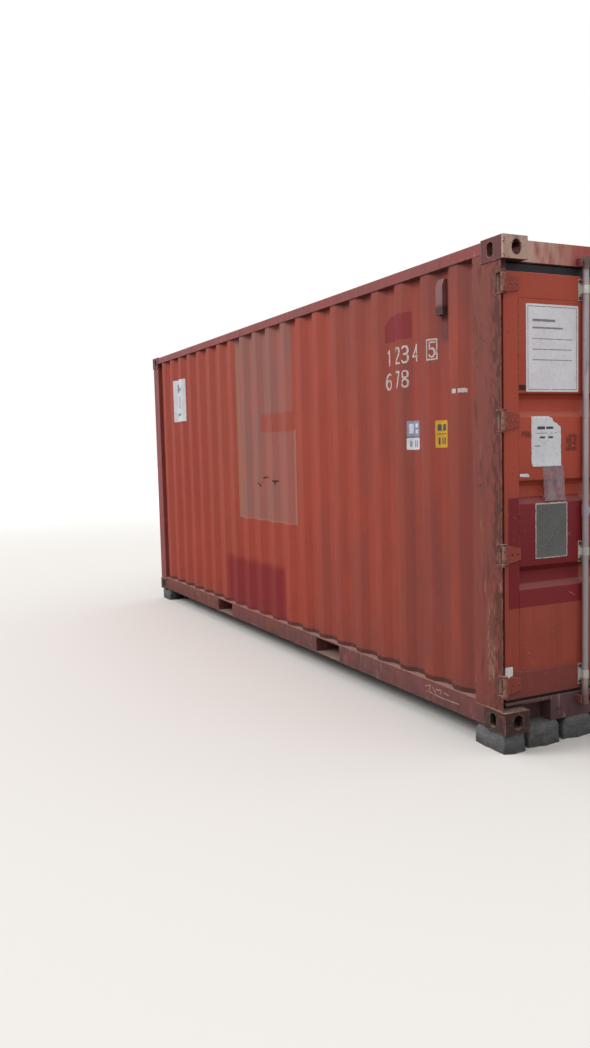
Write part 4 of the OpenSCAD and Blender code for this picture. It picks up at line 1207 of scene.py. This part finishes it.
# %% Weld beads
def bead(mesh, path, normal, radius_mm=4.0):
    """Sweeps a half round bead of uneven thickness along a path."""
    normal = Vector(normal).normalized()
    path = [Vector(p) for p in path]
    rings = []
    for index, point in enumerate(path):
        tangent = (path[min(index + 1, len(path) - 1)] - path[max(index - 1, 0)]).normalized()
        side = tangent.cross(normal).normalized()
        size = radius_mm * MM * (0.9 + 0.35 * noise.noise(point * 85))
        rings.append([mesh.verts.new(point + (side * math.cos(a) + normal * math.sin(a)) * size)
                      for a in (math.pi * k / 4 for k in range(5))])
    for near, far in zip(rings, rings[1:]):
        for k in range(4):
            mesh.faces.new((near[k], near[k + 1], far[k + 1], far[k]))


def steps(start, end, spacing_mm=14):
    """Points along a straight joint."""
    start, end = Vector(start), Vector(end)
    count = max(2, int((end - start).length / (spacing_mm * MM)))
    return [start.lerp(end, k / count) for k in range(count + 1)]


PROBE_STEP = 12 * MM


def wall_path(lay, start, end, level_z, probe_z):
    """The joint between a ridged wall and a rail: it follows the ridges."""
    count = int(abs(end - start) / PROBE_STEP)
    spots = [start + (end - start) * k / count for k in range(count + 1)]
    points = [lay(spot, probe_z, 0) for spot in spots]
    return [Vector((p.x, p.y, level_z)) for p in points]


CASTING_LENGTH = 0.178
BEAD_INSET = 0.006
RAIL_SEAMS = (0.026, -1.94)
END_INSET = 0.009
BEAD_STOP = 0.004
LOW_PROBE, HIGH_PROBE = 0.02, 0.16
DOOR_LIP, CLOSED_LIP = 0.030, 0.010
on_right_wall = surface([wall_right], (0, -1, 0))
on_end_wall = surface([wall_end], (1, 0, 0))
wall_low, wall_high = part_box("side_wall_left")
low_z, high_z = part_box("casting_door_left_bottom")[1].z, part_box("casting_door_left_top")[0].z
rail_low, rail_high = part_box("bottom_rail_left")
welds = bmesh.new()
for lay, side in ((on_left_wall, -1), (on_right_wall, 1)):
    x0, x1 = wall_low.x + BEAD_STOP, wall_high.x - BEAD_STOP
    bead(welds, wall_path(lay, x0, x1, wall_low.z, wall_low.z + LOW_PROBE), (0, side, 1))
    bead(welds, wall_path(lay, x0, x1, wall_high.z, wall_high.z - HIGH_PROBE), (0, side, -1), 3.0)
    post_y = side * (abs(side_plane) - BEAD_INSET)
    for x, way in ((wall_low.x, 1), (wall_high.x, -1)):
        wall_y = lay(x + way * BEAD_INSET, 1.5, 0).y
        bead(welds, steps((x, wall_y, wall_low.z), (x, wall_y, wall_high.z)), (way, side, 0), 3.0)
    for x, way in ((door_end, -1), (-door_end, 1)):
        far, lip = x + way * CASTING_LENGTH, x + way * (DOOR_LIP if way < 0 else CLOSED_LIP)
        for z, up in ((low_z, 1), (high_z, -1)):
            bead(welds, steps((far, post_y, z), (lip, post_y, z)), (0, side, up))
    for x in RAIL_SEAMS:
        bead(welds, steps((x, post_y, rail_low.z + BEAD_STOP), (x, post_y, rail_high.z - BEAD_STOP)),
             (0, side, 0), 5.0)
end_low, end_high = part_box("end_wall")
for z, probe, up in ((end_low.z, LOW_PROBE, 1), (end_high.z, -LOW_PROBE, -1)):
    count = int((end_high.y - end_low.y) / PROBE_STEP)
    wide = end_high.y - end_low.y - 2 * END_INSET
    path = [on_end_wall(end_low.y + END_INSET + wide * k / count, z + probe, 0) for k in range(count + 1)]
    bead(welds, [Vector((p.x, p.y, z)) for p in path if p.x > -door_end], (-1, 0, up))
print("weld beads:", len(welds.faces), "faces")
add_piece("weld_beads", welds, frame_paint, "frame_paint", sharp_deg=80)

# %% Bolts and rivets
def revolve(mesh, centre, axis, profile, sides=14):
    """Turns a profile of (radius, height) in millimetres about an axis."""
    turn = Vector(axis).to_track_quat("Z", "Y")
    rings = []
    for radius, up in profile:
        angles = [2 * math.pi * k / sides for k in range(sides)]
        rings.append([mesh.verts.new(Vector(centre) + turn @ Vector((
            radius * MM * math.cos(a), radius * MM * math.sin(a), up * MM))) for a in angles])
    for near, far in zip(rings, rings[1:]):
        for k in range(sides):
            mesh.faces.new((near[k], near[(k + 1) % sides], far[(k + 1) % sides], far[k]))
    mesh.faces.new(rings[-1])


bolt_steel = thin_coat("bolt_steel_rusted", "5a453c", "33231d", 0.75, 0.6, size_mm=8)
BOLT = [(10, -1), (10, 1.6), (8.2, 1.7), (7.9, 3.4), (6.2, 5.4), (3.2, 6.4), (1.0, 6.6)]
RIVET = [(7, -1), (6.8, 1.5), (5, 3.2), (2, 4.0)]
BOLT_INSET_Y, BOLT_INSET_Z, GUIDE_PLATE = 0.011, 0.014, 0.004
RIVET_INSETS = (0.016, 0.052)


def solids_of(name):
    """The box of each separate solid in a CAD node."""
    mesh = welded(name)
    boxes = [extent(v.co.copy() for face in group for v in face.verts) for group in islands(mesh)]
    mesh.free()
    return boxes


def leaf_bolts(side):
    """Bolt heads on the guide plates and the hinge blades of one leaf."""
    heads = bmesh.new()
    for low, high in solids_of("bar_brackets_" + side):
        for y in (low.y + BOLT_INSET_Y, high.y - BOLT_INSET_Y):
            for z in (low.z + BOLT_INSET_Z, high.z - BOLT_INSET_Z):
                revolve(heads, (leaf_face + GUIDE_PLATE, y, z), (1, 0, 0), BOLT)
    add_piece("guide_bolts_" + side, heads, bolt_steel, "galvanised_steel", side + "_door", sharp_deg=40)
    rivets = bmesh.new()
    lay = on_left_door if side == "left" else on_right_door
    for low, high in solids_of("hinge_blades_" + side):
        tip = high.y if side == "left" else low.y
        way = -1 if side == "left" else 1
        for inward in RIVET_INSETS:
            revolve(rivets, lay(tip + way * inward, (low.z + high.z) / 2, 0), (1, 0, 0), RIVET)
    print(side, "leaf:", len(rivets.faces), "rivet faces")
    add_piece("blade_rivets_" + side, rivets, door_paint, "door_paint", side + "_door", sharp_deg=40)


WEB_SIZE = (0.005, 0.022, 0.094, 1)
WEB_BEHIND_END, WEB_INSIDE_SIDE = 0.0665, 0.0235


def hinge_webs():
    """The web plate that joins the two lugs of each hinge, bare and greyed by weather, its colour made
    paler as painted light.
    """
    mesh = bmesh.new()
    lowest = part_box("hinge_blades_left")[0].z
    spots = [(low.z + high.z) / 2 for low, high in solids_of("hinge_blades_left")]
    for middle in sorted(spots):
        for side in (-1, 1):
            y = side * (-side_plane - WEB_INSIDE_SIDE)
            turn = Matrix.Translation((door_end - WEB_BEHIND_END, y, middle)) @ Matrix.Diagonal(WEB_SIZE)
            plate = bmesh.ops.create_cube(mesh, size=1.0, matrix=turn)["verts"]
            edges = list(dict.fromkeys(e for v in plate for e in v.link_edges))
            bmesh.ops.bevel(mesh, geom=edges, offset=0.0012, segments=2, affect="EDGES", profile=0.5)
    print("hinge webs:", len(mesh.faces), "faces, lowest blade at", round(lowest, 3))
    add_piece("hinge_webs", mesh, web_steel, "frame_paint", sharp_deg=50)


# Pale weathered steel, lightened further as painted light, since the webs sit in the shade of the hinge
# notch.
web_steel = thin_coat("hinge_steel_weathered_painted_light", "cfcbbd", "8a7663", 0.7, 0.6, size_mm=16)
hinge_webs()
on_right_door = surface([panel_right, nodes["door_frame_right"], nodes["hinge_blades_right"]], (-1, 0, 0))
leaf_bolts("left")
leaf_bolts("right")

# %% Scratches and scraped marks
def strokes(name, lines, lay, material, slot, pen_mm, worn_mm=2.0, body="container", lift_mm=0.4):
    """Thin strokes on a surface; a line is places in metres with heights in millimetres."""
    mesh = bmesh.new()
    pad = pen_mm * MM
    for line in lines:
        us, vs = [u for u, _ in line], [height(v) for _, v in line]
        corners = (min(us) - pad, min(vs) - pad, max(us) + pad, max(vs) + pad)
        field = pen_field([list(zip(us, vs))], pen_mm, worn_mm)
        cut_shape(mesh, field, corners, pen_mm * 0.45, lay, lift_mm)
    add_piece(name, mesh, material, slot, body)


rubbed = thin_coat("paint_scraped_to_primer", "b48e85", "8c5a4e", 0.75, 0.6, size_mm=12)
strokes("wall_scratches", [[(-0.105, 1304), (-0.07, 1316), (-0.02, 1308)],
                           [(0.122, 1286), (0.182, 1284)], [(0.150, 1284), (0.152, 1256)],
                           [(-0.170, 1264), (-0.140, 1256), (-0.132, 1238)]],
        on_left_wall, gouge_and_shadow, "wall_paint", 15, worn_mm=9)
on_left_rail = surface([nodes["bottom_rail_left"]], (0, 1, 0))
strokes("rail_scratches", [[(2.285, 98), (2.34, 110), (2.33, 78)], [(2.36, 104), (2.39, 80)],
                           [(2.40, 100), (2.45, 106), (2.44, 84)], [(2.47, 100), (2.52, 92)],
                           [(2.30, 70), (2.46, 62), (2.62, 66)]],
        on_left_rail, rubbed, "underframe_paint", 6, 4.0)
strokes("leaf_scratches", [[(from_side(310), 1262), (from_side(365), 1236)],
                           [(from_side(318), 1238), (from_side(360), 1262)],
                           [(from_side(480), 720), (from_side(520), 700)]],
        on_left_door, rubbed, "door_paint", 4, 2.0, "left_door")

# %% [markdown]
# ## Floor, light and backdrop
#
# The studio is a pale floor that fades to white, an even white world and one
# broad soft sun from over the container's left side.

# %% Studio
FLOOR_REACH = 90.0
FADE_START, FADE_END = 7, 26
KEY_WAY = Vector((0.30, 0.75, -0.70))
KEY_ENERGY, KEY_WIDTH_DEG = 1.6, 25


def make_floor():
    """A wide pale studio floor at the foot of the concrete, whiter with distance."""
    mesh = bpy.data.meshes.new("studio_floor")
    corners = [(x * FLOOR_REACH, y * FLOOR_REACH, 0) for x, y in ((-1, -1), (1, -1), (1, 1), (-1, 1))]
    mesh.from_pydata(corners, [], [(0, 1, 2, 3)])
    floor = stand("studio_floor", mesh)
    material, shader, place = start_material("studio_floor_paint")
    away = node(place, "VectorMath", {0: place}, operation="LENGTH").outputs["Value"]
    bounce = less(1.0, node(place, "LightPath").outputs["Is Camera Ray"])
    stack(shader, "d9d6d2", 0.9, [(level_mask(away, FADE_START, FADE_END), 1, "f4f4f4", 0.9),
                                  (bounce, 1, "6f6c66", 0.9)])
    mesh.materials.append(material)


def make_sky():
    """A soft white world that lights evenly and shows white behind the object."""
    world = bpy.data.worlds.new("soft_studio")
    world.use_nodes = True
    tree = world.node_tree
    tree.nodes.clear()
    path = node(tree, "LightPath")
    seen = plus(path.outputs["Is Camera Ray"],
                plus(path.outputs["Is Glossy Ray"], path.outputs["Is Transmission Ray"]))
    up = axis_of(node(tree, "TexCoord").outputs["Generated"], "Z")
    lamp = node(tree, "MapRange", {"Value": up, "From Min": 0.0, "From Max": 0.9, "To Min": 0.50,
                                   "To Max": 1.15}).outputs["Result"]
    strength = node(tree, "Mix", {0: seen, 2: lamp, 3: 1.0}).outputs[0]
    sky = node(tree, "Background", {"Color": (1, 1, 1, 1), "Strength": strength})
    node(tree, "OutputWorld", {"Surface": sky.outputs["Background"]})
    bpy.context.scene.world = world


def make_key():
    """A broad soft sun from over the container's left side."""
    data = bpy.data.lights.new("soft_key", "SUN")
    data.energy = KEY_ENERGY
    data.angle = math.radians(KEY_WIDTH_DEG)
    key = stand("soft_key", data)
    key.rotation_euler = KEY_WAY.to_track_quat("-Z", "Y").to_euler()


make_floor()
make_sky()
make_key()
